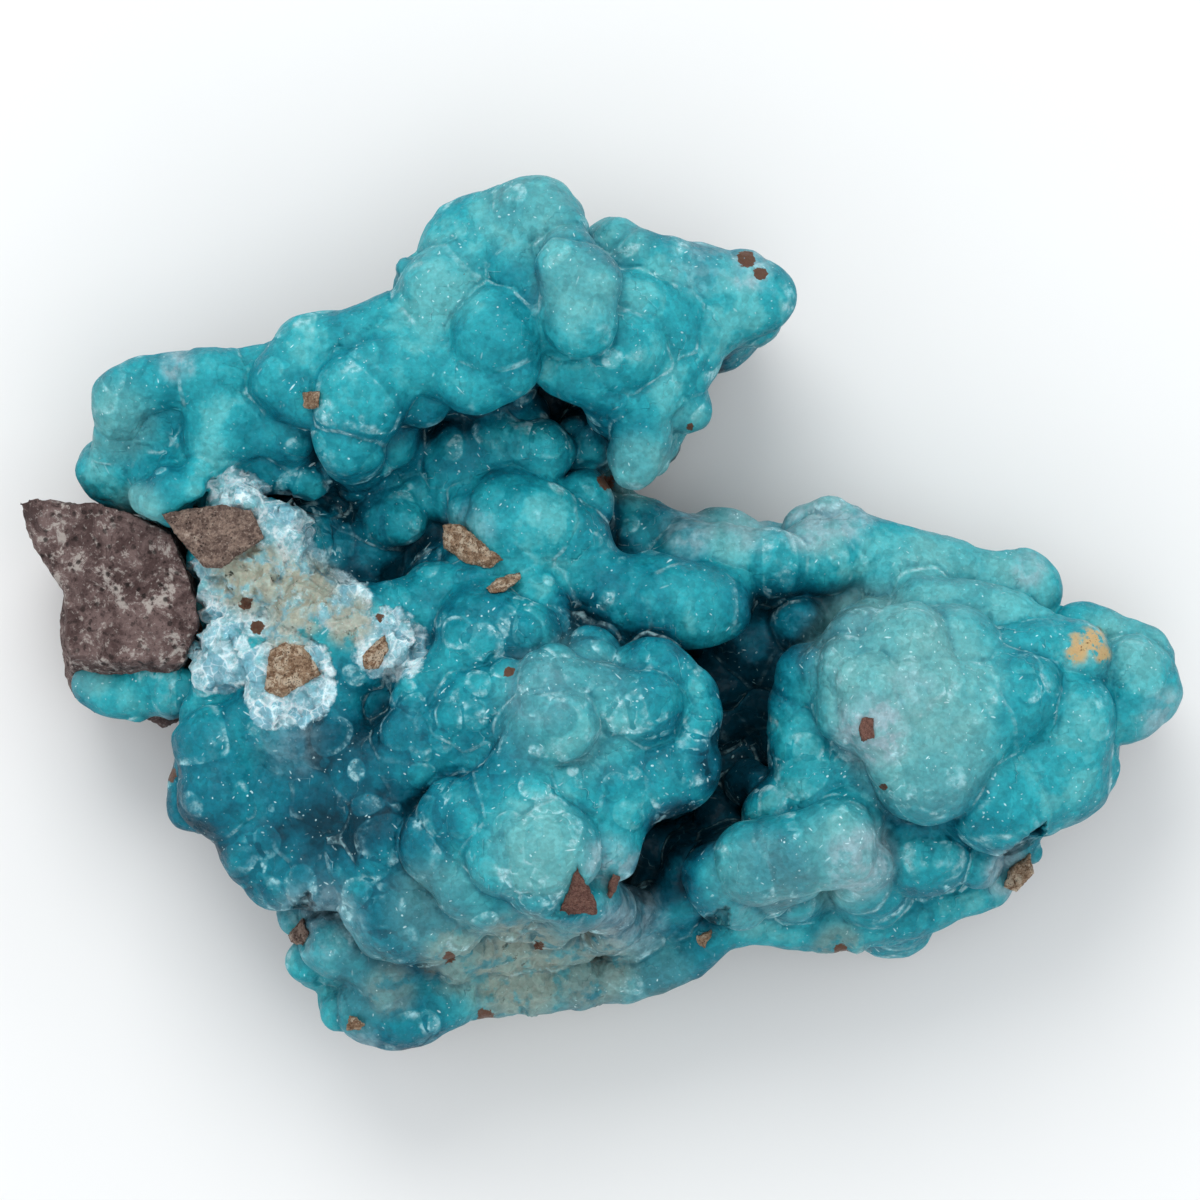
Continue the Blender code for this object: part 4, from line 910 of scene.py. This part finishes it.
# ---- Rock.
def roughened(node_name, name, voxel, amount, size, seed):
    """A rough copy of a solid, inside it."""
    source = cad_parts[node_name]
    obj = bpy.data.objects.new(name, source.data.copy())
    obj.matrix_world = source.matrix_world.copy()
    bpy.context.scene.collection.objects.link(obj)
    remeshed(obj, voxel)
    mesh = obj.data
    points = get_points(mesh)
    normals = get_normals(mesh)
    shift = Vector((seed * 3.7, seed * 1.3, 0.0))
    depth = []
    for point in points:
        at = Vector(point) / (size * MM) + shift
        big = noise.noise(at)
        ridge = abs(noise.noise(at * 2.3))
        small = noise.noise(at * 5.1)
        depth.append(-0.22 + 0.42 * big - 0.45 * ridge + 0.22 * small)
    points = points + normals * (np.minimum(np.array(depth), 0.0) * amount * MM)[:, None]
    return obj, points


def build_rock():
    rock, points = roughened("matrix_rock", "rock", *ROCK_ROUGHNESS, 1)
    points[:, 2] = np.maximum(points[:, 2], 0.0)
    set_points(rock.data, points)
    return rock


def build_chip(node_name, seed):
    chip, points = roughened(node_name, node_name + "_rough", *CHIP_ROUGHNESS, seed)
    set_points(chip.data, points)
    return chip


# ---- Materials.
class Nodes:
    """Small helper that adds and links nodes of one material."""

    def __init__(self, name):
        self.material = bpy.data.materials.new(name)
        self.material.use_nodes = True
        self.tree = self.material.node_tree
        self.shader = self.tree.nodes["Principled BSDF"]

    def add(self, kind, **values):
        node = self.tree.nodes.new(kind)
        for key, value in values.items():
            setattr(node, key, value)
        return node

    def join(self, output, socket):
        self.tree.links.new(output, socket)

    def place(self):
        return self.add("ShaderNodeTexCoord").outputs["Object"]

    def value(self, name):
        return self.add("ShaderNodeAttribute", attribute_name=name).outputs["Fac"]

    def math(self, operation, first, second=None, third=None, clamp=False):
        node = self.add("ShaderNodeMath", operation=operation, use_clamp=clamp)
        for socket, given in zip(node.inputs, (first, second, third)):
            if given is None:
                continue
            if isinstance(given, (int, float)):
                socket.default_value = given
            else:
                self.join(given, socket)
        return node.outputs["Value"]

    def times(self, first, second):
        return self.math("MULTIPLY", first, second)

    def plus(self, first, second):
        return self.math("ADD", first, second)

    def span(self, value, low, high, to_low=0.0, to_high=1.0):
        node = self.add("ShaderNodeMapRange", interpolation_type="SMOOTHSTEP")
        self.join(value, node.inputs["Value"])
        for key, number in (("From Min", low), ("From Max", high), ("To Min", to_low), ("To Max", to_high)):
            node.inputs[key].default_value = number
        return node.outputs["Result"]

    def noise(self, scale, detail=3.0, roughness=0.55, distortion=0.0):
        node = self.add("ShaderNodeTexNoise")
        self.join(self.place(), node.inputs["Vector"])
        node.inputs["Scale"].default_value = scale
        node.inputs["Detail"].default_value = detail
        node.inputs["Roughness"].default_value = roughness
        node.inputs["Distortion"].default_value = distortion
        return node.outputs["Fac"]

    def cells(self, scale, feature="F1"):
        node = self.add("ShaderNodeTexVoronoi", feature=feature)
        self.join(self.place(), node.inputs["Vector"])
        node.inputs["Scale"].default_value = scale
        return node

    def vector_math(self, operation, first, second=None):
        node = self.add("ShaderNodeVectorMath", operation=operation)
        for socket, given in zip(node.inputs, (first, second)):
            if isinstance(given, tuple):
                socket.default_value = given
            elif given is not None:
                self.join(given, socket)
        return node.outputs["Value" if operation == "DOT_PRODUCT" else "Vector"]

    def flecks(self, scale, half_width, stretch):
        """Thin bright streaks, each laid its own way. Half the width is in mm."""
        node = self.cells(scale)
        away = self.vector_math("SUBTRACT", self.place(), node.outputs["Position"])
        way = self.vector_math("SUBTRACT", node.outputs["Color"], (0.5, 0.5, 0.5))
        along = self.vector_math("DOT_PRODUCT", away, self.vector_math("NORMALIZE", way))
        whole = self.vector_math("DOT_PRODUCT", away, away)
        less = self.math("MULTIPLY", self.math("MULTIPLY", along, along), 1.0 / stretch ** 2 - 1.0)
        across = self.math("ADD", whole, less)
        parts = self.add("ShaderNodeSeparateColor")
        self.join(node.outputs["Color"], parts.inputs["Color"])
        size = self.math("MULTIPLY_ADD", parts.outputs["Blue"], 1.5, 0.25)
        square = (half_width * MM) ** 2
        return self.span(self.math("DIVIDE", across, size), square, 0.3 * square)

    def ramp(self, value, stops):
        node = self.add("ShaderNodeValToRGB")
        self.join(value, node.inputs["Fac"])
        points = node.color_ramp.elements
        while len(points) < len(stops):
            points.new(0.5)
        for point, (position, colour) in zip(points, stops):
            point.position = position
            point.color = (*colour, 1.0)
        return node.outputs["Color"]

    def facets(self, scale):
        """Height of small flat faces, each tilted its own way."""
        node = self.cells(scale)
        away = self.vector_math("SUBTRACT", self.place(), node.outputs["Position"])
        tilt = self.vector_math("SUBTRACT", node.outputs["Color"], (0.5, 0.5, 0.5))
        return self.math("MULTIPLY", self.vector_math("DOT_PRODUCT", away, tilt), scale)

    def blend(self, amount, first, second, kind="MIX"):
        node = self.add("ShaderNodeMix", data_type="RGBA", blend_type=kind)
        sockets = [node.inputs[0], node.inputs[6], node.inputs[7]]
        for socket, given in zip(sockets, (amount, first, second)):
            if isinstance(given, (int, float)):
                socket.default_value = given
            elif isinstance(given, tuple):
                socket.default_value = (*given, 1.0)
            else:
                self.join(given, socket)
        return node.outputs[2]

    def bump(self, height, strength, distance, below=None):
        node = self.add("ShaderNodeBump")
        node.inputs["Strength"].default_value = strength
        node.inputs["Distance"].default_value = distance * MM
        self.join(height, node.inputs["Height"])
        if below is not None:
            self.join(below, node.inputs["Normal"])
        return node.outputs["Normal"]


# Colours of the crust from its lit summits to painted shade in its hollows and on its flanks, and of what
# lies in and on it, with painted shade and highlights along lump edges and painted glints.
TONE_AND_SHADE_COLOURS = [
    (0.0, (0.090, 0.440, 0.475)), (0.14, (0.022, 0.345, 0.402)), (0.34, (0.008, 0.252, 0.312)),
    (0.60, (0.003, 0.165, 0.228)), (0.82, (0.001, 0.092, 0.142)), (1.0, (0.0003, 0.036, 0.060)),
]
MINT_COLOUR = (0.165, 0.415, 0.420)
LAVENDER_COLOUR = (0.31, 0.46, 0.51)
ICE_COLOUR = (0.46, 0.68, 0.74)
FROST_COLOUR = (0.66, 0.80, 0.84)
BLOCK_COLOUR = (0.16, 0.40, 0.50)
SPLIT_COLOUR = (0.74, 0.88, 0.92)
BEIGE_COLOUR = (0.36, 0.37, 0.29)
SPECK_COLOUR = (0.05, 0.06, 0.05)
SHADE_COLOUR = (0.002, 0.13, 0.20)
RIM_FROST_AND_HIGHLIGHT_COLOUR = (0.46, 0.74, 0.79)
PAINTED_GLINT_COLOUR = (0.66, 0.90, 0.93)
STAIN_COLOUR = (0.55, 0.38, 0.18)
STAIN_SPECK_COLOUR = (0.10, 0.05, 0.02)
RUST_COLOUR = (0.11, 0.055, 0.035)
# Near-black painted shade for the holes and pits of the rock.
HOLE_SHADE_COLOUR = (0.014, 0.009, 0.008)
PIT_SHADE_COLOUR = (0.022, 0.013, 0.012)

# Texture scales of the crystal blocks in the broken patch.
BLOCK_SCALE = 430.0
SMALL_BLOCK_SCALE = 980.0

# Rocks: dark, middle and pale colour, texture scale, share of pale chalk.
ROCKS = {
    "host_rock": ((0.070, 0.040, 0.038), (0.185, 0.125, 0.118), (0.44, 0.39, 0.36), 260.0, 0.075),
    "chip_tan": ((0.28, 0.16, 0.09), (0.60, 0.41, 0.27), (0.80, 0.66, 0.50), 900.0, 0.10),
    "chip_dark": ((0.15, 0.095, 0.078), (0.38, 0.27, 0.215), (0.60, 0.48, 0.40), 700.0, 0.05),
    "chip_red": ((0.20, 0.085, 0.068), (0.36, 0.18, 0.135), (0.50, 0.34, 0.27), 1500.0, 0.0),
}
CHIP_ROCKS = {
    "upper": "dark", "left": "tan", "orange": "tan", "tan": "tan", "square": "tan", "red": "red",
    "lower": "red", "right": "tan", "tan_small": "tan", "lower_small": "red", "foot": "tan", "mauve": "dark",
    "heel": "tan",
}

# Stage.
WORLD_STRENGTH = 0.87
KEY_POWER = 3.1
TOP_POWER = 0.9
LIGHT_TARGET = (0.0, 0.0, 0.02)
CAMERA_PLACE = (-0.0002, 0.0013, 2.025)
CAMERA_LENS = 600.0


def crust_material():
    n = Nodes("smithsonite_crust")
    hollow_shade = n.value("hollow_shade")
    flank_shade = n.value("flank_shade")
    edge = n.value("edge")
    cloud = n.noise(150.0, 5.0, 0.6)
    haze = n.noise(520.0, 4.0, 0.6)
    broken = n.span(n.plus(n.value("broken"), n.math("MULTIPLY_ADD", haze, 1.0, -0.5)), 0.36, 0.60)
    small_edge = n.value("small_edge")
    small_step = n.value("small_step")
    # Painted shade with real tone: darker on steep flanks and in hollows, plus painted shade patches and
    # painted shadow beside small lumps, with random tone from noise and from each lump. The ramp turns it
    # into colour.
    depth = n.math("MULTIPLY_ADD", flank_shade, 0.28, n.times(hollow_shade, 0.86))
    depth = n.plus(depth, n.span(cloud, 0.30, 0.70, 0.20, -0.08))
    depth = n.plus(depth, n.span(haze, 0.30, 0.70, 0.04, -0.04))
    depth = n.plus(depth, n.math("MULTIPLY_ADD", n.value("tint"), 0.16, -0.08))
    depth = n.plus(depth, n.math("MULTIPLY_ADD", n.value("small_tint"), 0.08, -0.04))
    # Painted shadow: darker on the lower side beside the rim of each small lump.
    beside = n.times(n.span(small_edge, 0.04, -0.04), n.span(small_edge, -0.8, -0.05))
    depth = n.plus(depth, n.times(n.times(beside, small_step), 0.16))
    # Painted shade patches darken their places further.
    depth = n.math("ADD", depth, n.value("painted_shade"), clamp=True)
    colour = n.ramp(depth, TONE_AND_SHADE_COLOURS)
    grains = n.cells(1500.0)
    parts = n.add("ShaderNodeSeparateColor")
    n.join(grains.outputs["Color"], parts.inputs["Color"])
    grain = n.math("MULTIPLY_ADD", parts.outputs["Green"], 0.24, 0.88)
    fine = n.noise(2100.0, 4.0, 0.65)
    grain = n.times(grain, n.span(fine, 0.32, 0.68, 0.90, 1.10))
    grain_colour = n.add("ShaderNodeCombineColor")
    for socket in ("Red", "Green", "Blue"):
        n.join(grain, grain_colour.inputs[socket])
    mint = n.times(n.value("mint"), n.span(cloud, 0.35, 0.65, 0.55, 0.95))
    colour = n.blend(mint, colour, MINT_COLOUR)
    lavender = n.times(n.value("lavender"), n.span(haze, 0.42, 0.58, 0.35, 1.0))
    colour = n.blend(lavender, colour, LAVENDER_COLOUR)
    grit = n.noise(900.0, 5.0, 0.7)
    ice = n.times(broken, n.span(haze, 0.36, 0.62, 0.35, 1.0))
    colour = n.blend(ice, colour, ICE_COLOUR)
    ice = n.times(broken, n.span(grit, 0.50, 0.62, 0.0, 0.90))
    colour = n.blend(ice, colour, FROST_COLOUR)
    blocks = n.add("ShaderNodeSeparateColor")
    n.join(n.cells(BLOCK_SCALE).outputs["Color"], blocks.inputs["Color"])
    block = n.times(broken, n.span(blocks.outputs["Red"], 0.15, 0.75, 0.75, 0.0))
    colour = n.blend(block, colour, BLOCK_COLOUR)
    splits = n.span(n.cells(BLOCK_SCALE, "DISTANCE_TO_EDGE").outputs["Distance"], 0.07, 0.02)
    small_splits = n.cells(SMALL_BLOCK_SCALE, "DISTANCE_TO_EDGE").outputs["Distance"]
    splits = n.math("MAXIMUM", splits, n.span(small_splits, 0.07, 0.02, 0.0, 0.6))
    splits = n.times(n.times(splits, broken), n.span(haze, 0.42, 0.55, 0.1, 0.9))
    colour = n.blend(splits, colour, SPLIT_COLOUR)
    beige = n.times(n.value("beige"), n.span(haze, 0.36, 0.52, 0.15, 0.95))
    colour = n.blend(beige, colour, BEIGE_COLOUR)
    specks = n.times(n.value("beige"), n.span(grit, 0.62, 0.68))
    colour = n.blend(specks, colour, SPECK_COLOUR)
    frost = n.noise(1500.0, 3.0, 0.6)
    step = n.times(n.value("step"), n.span(haze, 0.35, 0.60, 0.25, 1.0))
    under = n.times(n.times(n.span(edge, 0.02, -0.10), n.span(edge, -0.95, -0.15)), step)
    colour = n.blend(n.times(under, 0.38), colour, SHADE_COLOUR)
    # Pale rims along the edges of higher lumps and of small lumps: partly frosted crystal, partly a painted
    # highlight.
    rim = n.times(n.times(n.span(edge, 0.0, 0.14), n.span(edge, 0.62, 0.26)), step)
    small_rim = n.times(n.span(small_edge, 0.0, 0.08), n.span(small_edge, 0.42, 0.14))
    small_rim = n.times(n.times(small_rim, small_step), n.span(haze, 0.42, 0.60, 0.1, 0.9))
    arcs = n.span(n.noise(300.0, 2.0), 0.45, 0.57)
    wide_arcs = n.span(n.noise(190.0, 2.0), 0.46, 0.56, 0.0, 0.9)
    rim = n.math("MAXIMUM", n.times(rim, wide_arcs), n.times(small_rim, arcs))
    rim = n.times(rim, n.span(frost, 0.40, 0.58, 0.15, 0.75))
    colour = n.blend(rim, colour, RIM_FROST_AND_HIGHLIGHT_COLOUR)
    near = n.times(n.span(small_edge, -0.8, -0.1), n.span(small_edge, 0.7, 0.1))
    near = n.math("MAXIMUM", near, n.times(broken, 0.9))
    # Painted glints: short bright streaks of tiny crystal faces, most near small lump edges and in the broken
    # patch.
    painted_glint = n.math("MAXIMUM", n.flecks(620.0, 0.10, 7.0), n.flecks(1200.0, 0.065, 4.5))
    painted_glint = n.times(painted_glint, n.span(n.noise(240.0, 2.0), 0.40, 0.56, 0.2, 1.0))
    painted_glint = n.times(painted_glint, n.math("MULTIPLY_ADD", near, 0.60, 0.25))
    colour = n.blend(n.times(painted_glint, 0.8), colour, PAINTED_GLINT_COLOUR)
    colour = n.blend(1.0, colour, grain_colour.outputs["Color"], "MULTIPLY")
    stain = n.times(n.value("stain"), n.span(grit, 0.40, 0.50))
    colour = n.blend(stain, colour, STAIN_COLOUR)
    rust = n.times(n.value("stain"), n.span(grit, 0.60, 0.66))
    colour = n.blend(rust, colour, STAIN_SPECK_COLOUR)
    bits = n.plus(n.value("rust"), n.math("MULTIPLY_ADD", grit, 2.4, -1.25))
    colour = n.blend(n.span(bits, 0.45, 0.60), colour, RUST_COLOUR)
    n.join(colour, n.shader.inputs["Base Color"])
    rough = n.math("ADD", n.span(haze, 0.3, 0.7, 0.34, 0.56), n.times(painted_glint, -0.2), clamp=True)
    n.join(rough, n.shader.inputs["Roughness"])
    n.shader.inputs["IOR"].default_value = 1.5
    n.shader.inputs["Specular IOR Level"].default_value = 0.15
    n.shader.inputs["Subsurface Weight"].default_value = 0.35
    n.shader.inputs["Subsurface Radius"].default_value = (0.25, 0.9, 1.0)
    n.shader.inputs["Subsurface Scale"].default_value = 0.0014
    swell = n.noise(420.0, 2.0)
    normal = n.bump(swell, 0.45, 0.5)
    normal = n.bump(n.times(n.facets(BLOCK_SCALE), broken), 1.0, 1.3, normal)
    normal = n.bump(n.facets(1100.0), 0.6, 0.45, normal)
    normal = n.bump(n.facets(2300.0), 0.6, 0.25, normal)
    normal = n.bump(fine, 0.45, 0.18, normal)
    groove = n.times(n.times(n.span(edge, -0.55, -0.05), n.span(edge, 0.28, -0.02)), step)
    normal = n.bump(n.times(groove, -1.0), 0.6, 0.25, normal)
    n.join(normal, n.shader.inputs["Normal"])
    return n.material


def rock_material(name, dark, mid, pale, scale, pale_share):
    n = Nodes(name)
    broad = n.noise(scale * 0.45, 5.0, 0.65, 0.6)
    middle = n.noise(scale * 1.3, 6.0, 0.72, 0.5)
    fine = n.noise(scale * 5.0, 4.0, 0.75)
    colour = n.blend(n.span(middle, 0.40, 0.60), dark, mid)
    colour = n.blend(n.span(fine, 0.54, 0.66, 0.0, 0.7), colour, pale)
    chalk = n.math("MULTIPLY_ADD", middle, 0.55, n.times(broad, 0.45))
    chalk = n.span(chalk, 0.62 - pale_share, 0.66 - pale_share)
    chalk = n.times(chalk, n.span(fine, 0.34, 0.50, 0.35, 0.95))
    colour = n.blend(chalk, colour, pale)
    # Painted shade: small holes painted near black, also dented by the bump below.
    holes = n.span(n.cells(scale * 3.5).outputs["Distance"], 0.30, 0.12)
    holes = n.times(holes, n.span(broad, 0.35, 0.60))
    colour = n.blend(n.times(holes, 0.85), colour, HOLE_SHADE_COLOUR)
    # Painted shade: fine pits painted near black where the fine noise is low.
    colour = n.blend(n.span(fine, 0.44, 0.34, 0.0, 0.75), colour, PIT_SHADE_COLOUR)
    n.join(colour, n.shader.inputs["Base Color"])
    n.shader.inputs["Roughness"].default_value = 0.82
    n.shader.inputs["Specular IOR Level"].default_value = 0.3
    normal = n.bump(middle, 0.9, 0.9)
    normal = n.bump(n.times(holes, -1.0), 0.8, 0.4, normal)
    normal = n.bump(fine, 0.9, 0.35, normal)
    n.join(normal, n.shader.inputs["Normal"])
    return n.material


def floor_material():
    n = Nodes("floor_pale")
    soft = n.noise(40.0, 2.0)
    n.join(n.blend(soft, (0.86, 0.86, 0.86), (0.88, 0.88, 0.88)), n.shader.inputs["Base Color"])
    n.shader.inputs["Roughness"].default_value = 0.9
    return n.material


def dress(obj, material, nodes):
    obj.data.materials.clear()
    obj.data.materials.append(material)
    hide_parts(*nodes)
    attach(obj, "root")


def area_light(name, place_at, target, size, power, colour):
    data = bpy.data.lights.new(name, "AREA")
    data.shape = "DISK"
    data.size = size
    data.energy = power
    data.color = colour
    light = bpy.data.objects.new(name, data)
    light.location = place_at
    light.rotation_euler = (Vector(target) - Vector(place_at)).to_track_quat("-Z", "Y").to_euler()
    bpy.context.scene.collection.objects.link(light)


def build_stage():
    floor = make_object("floor", [(-3, -3, 0), (3, -3, 0), (3, 3, 0), (-3, 3, 0)], [(0, 1, 2, 3)])
    floor.data.materials.append(floor_material())
    world = bpy.data.worlds.new("studio")
    bpy.context.scene.world = world
    world.use_nodes = True
    background = world.node_tree.nodes["Background"]
    background.inputs["Color"].default_value = (0.95, 0.98, 1.0, 1.0)
    background.inputs["Strength"].default_value = WORLD_STRENGTH
    area_light("key", (-0.12, 0.55, 0.75), LIGHT_TARGET, 0.55, KEY_POWER, (1.0, 0.99, 0.97))
    area_light("top", (0.10, -0.10, 0.95), LIGHT_TARGET, 0.45, TOP_POWER, (1.0, 1.0, 1.0))
    data = bpy.data.cameras.new("camera")
    data.lens = CAMERA_LENS
    data.sensor_width = 36.0
    data.clip_end = 20.0
    camera = bpy.data.objects.new("camera", data)
    camera.location = CAMERA_PLACE
    bpy.context.scene.collection.objects.link(camera)
    bpy.context.scene.camera = camera
    bpy.context.scene.view_settings.view_transform = "Standard"


def main():
    build_stage()
    crust = build_crust()
    dress(crust, crust_material(), ["smithsonite_crust"])
    rocks = {name: rock_material(name, *look) for name, look in ROCKS.items()}
    dress(build_rock(), rocks["host_rock"], ["matrix_rock"])
    for number, (chip, rock) in enumerate(CHIP_ROCKS.items()):
        node_name = "matrix_chip_" + chip
        dress(build_chip(node_name, number + 2), rocks["chip_" + rock], [node_name])


main()
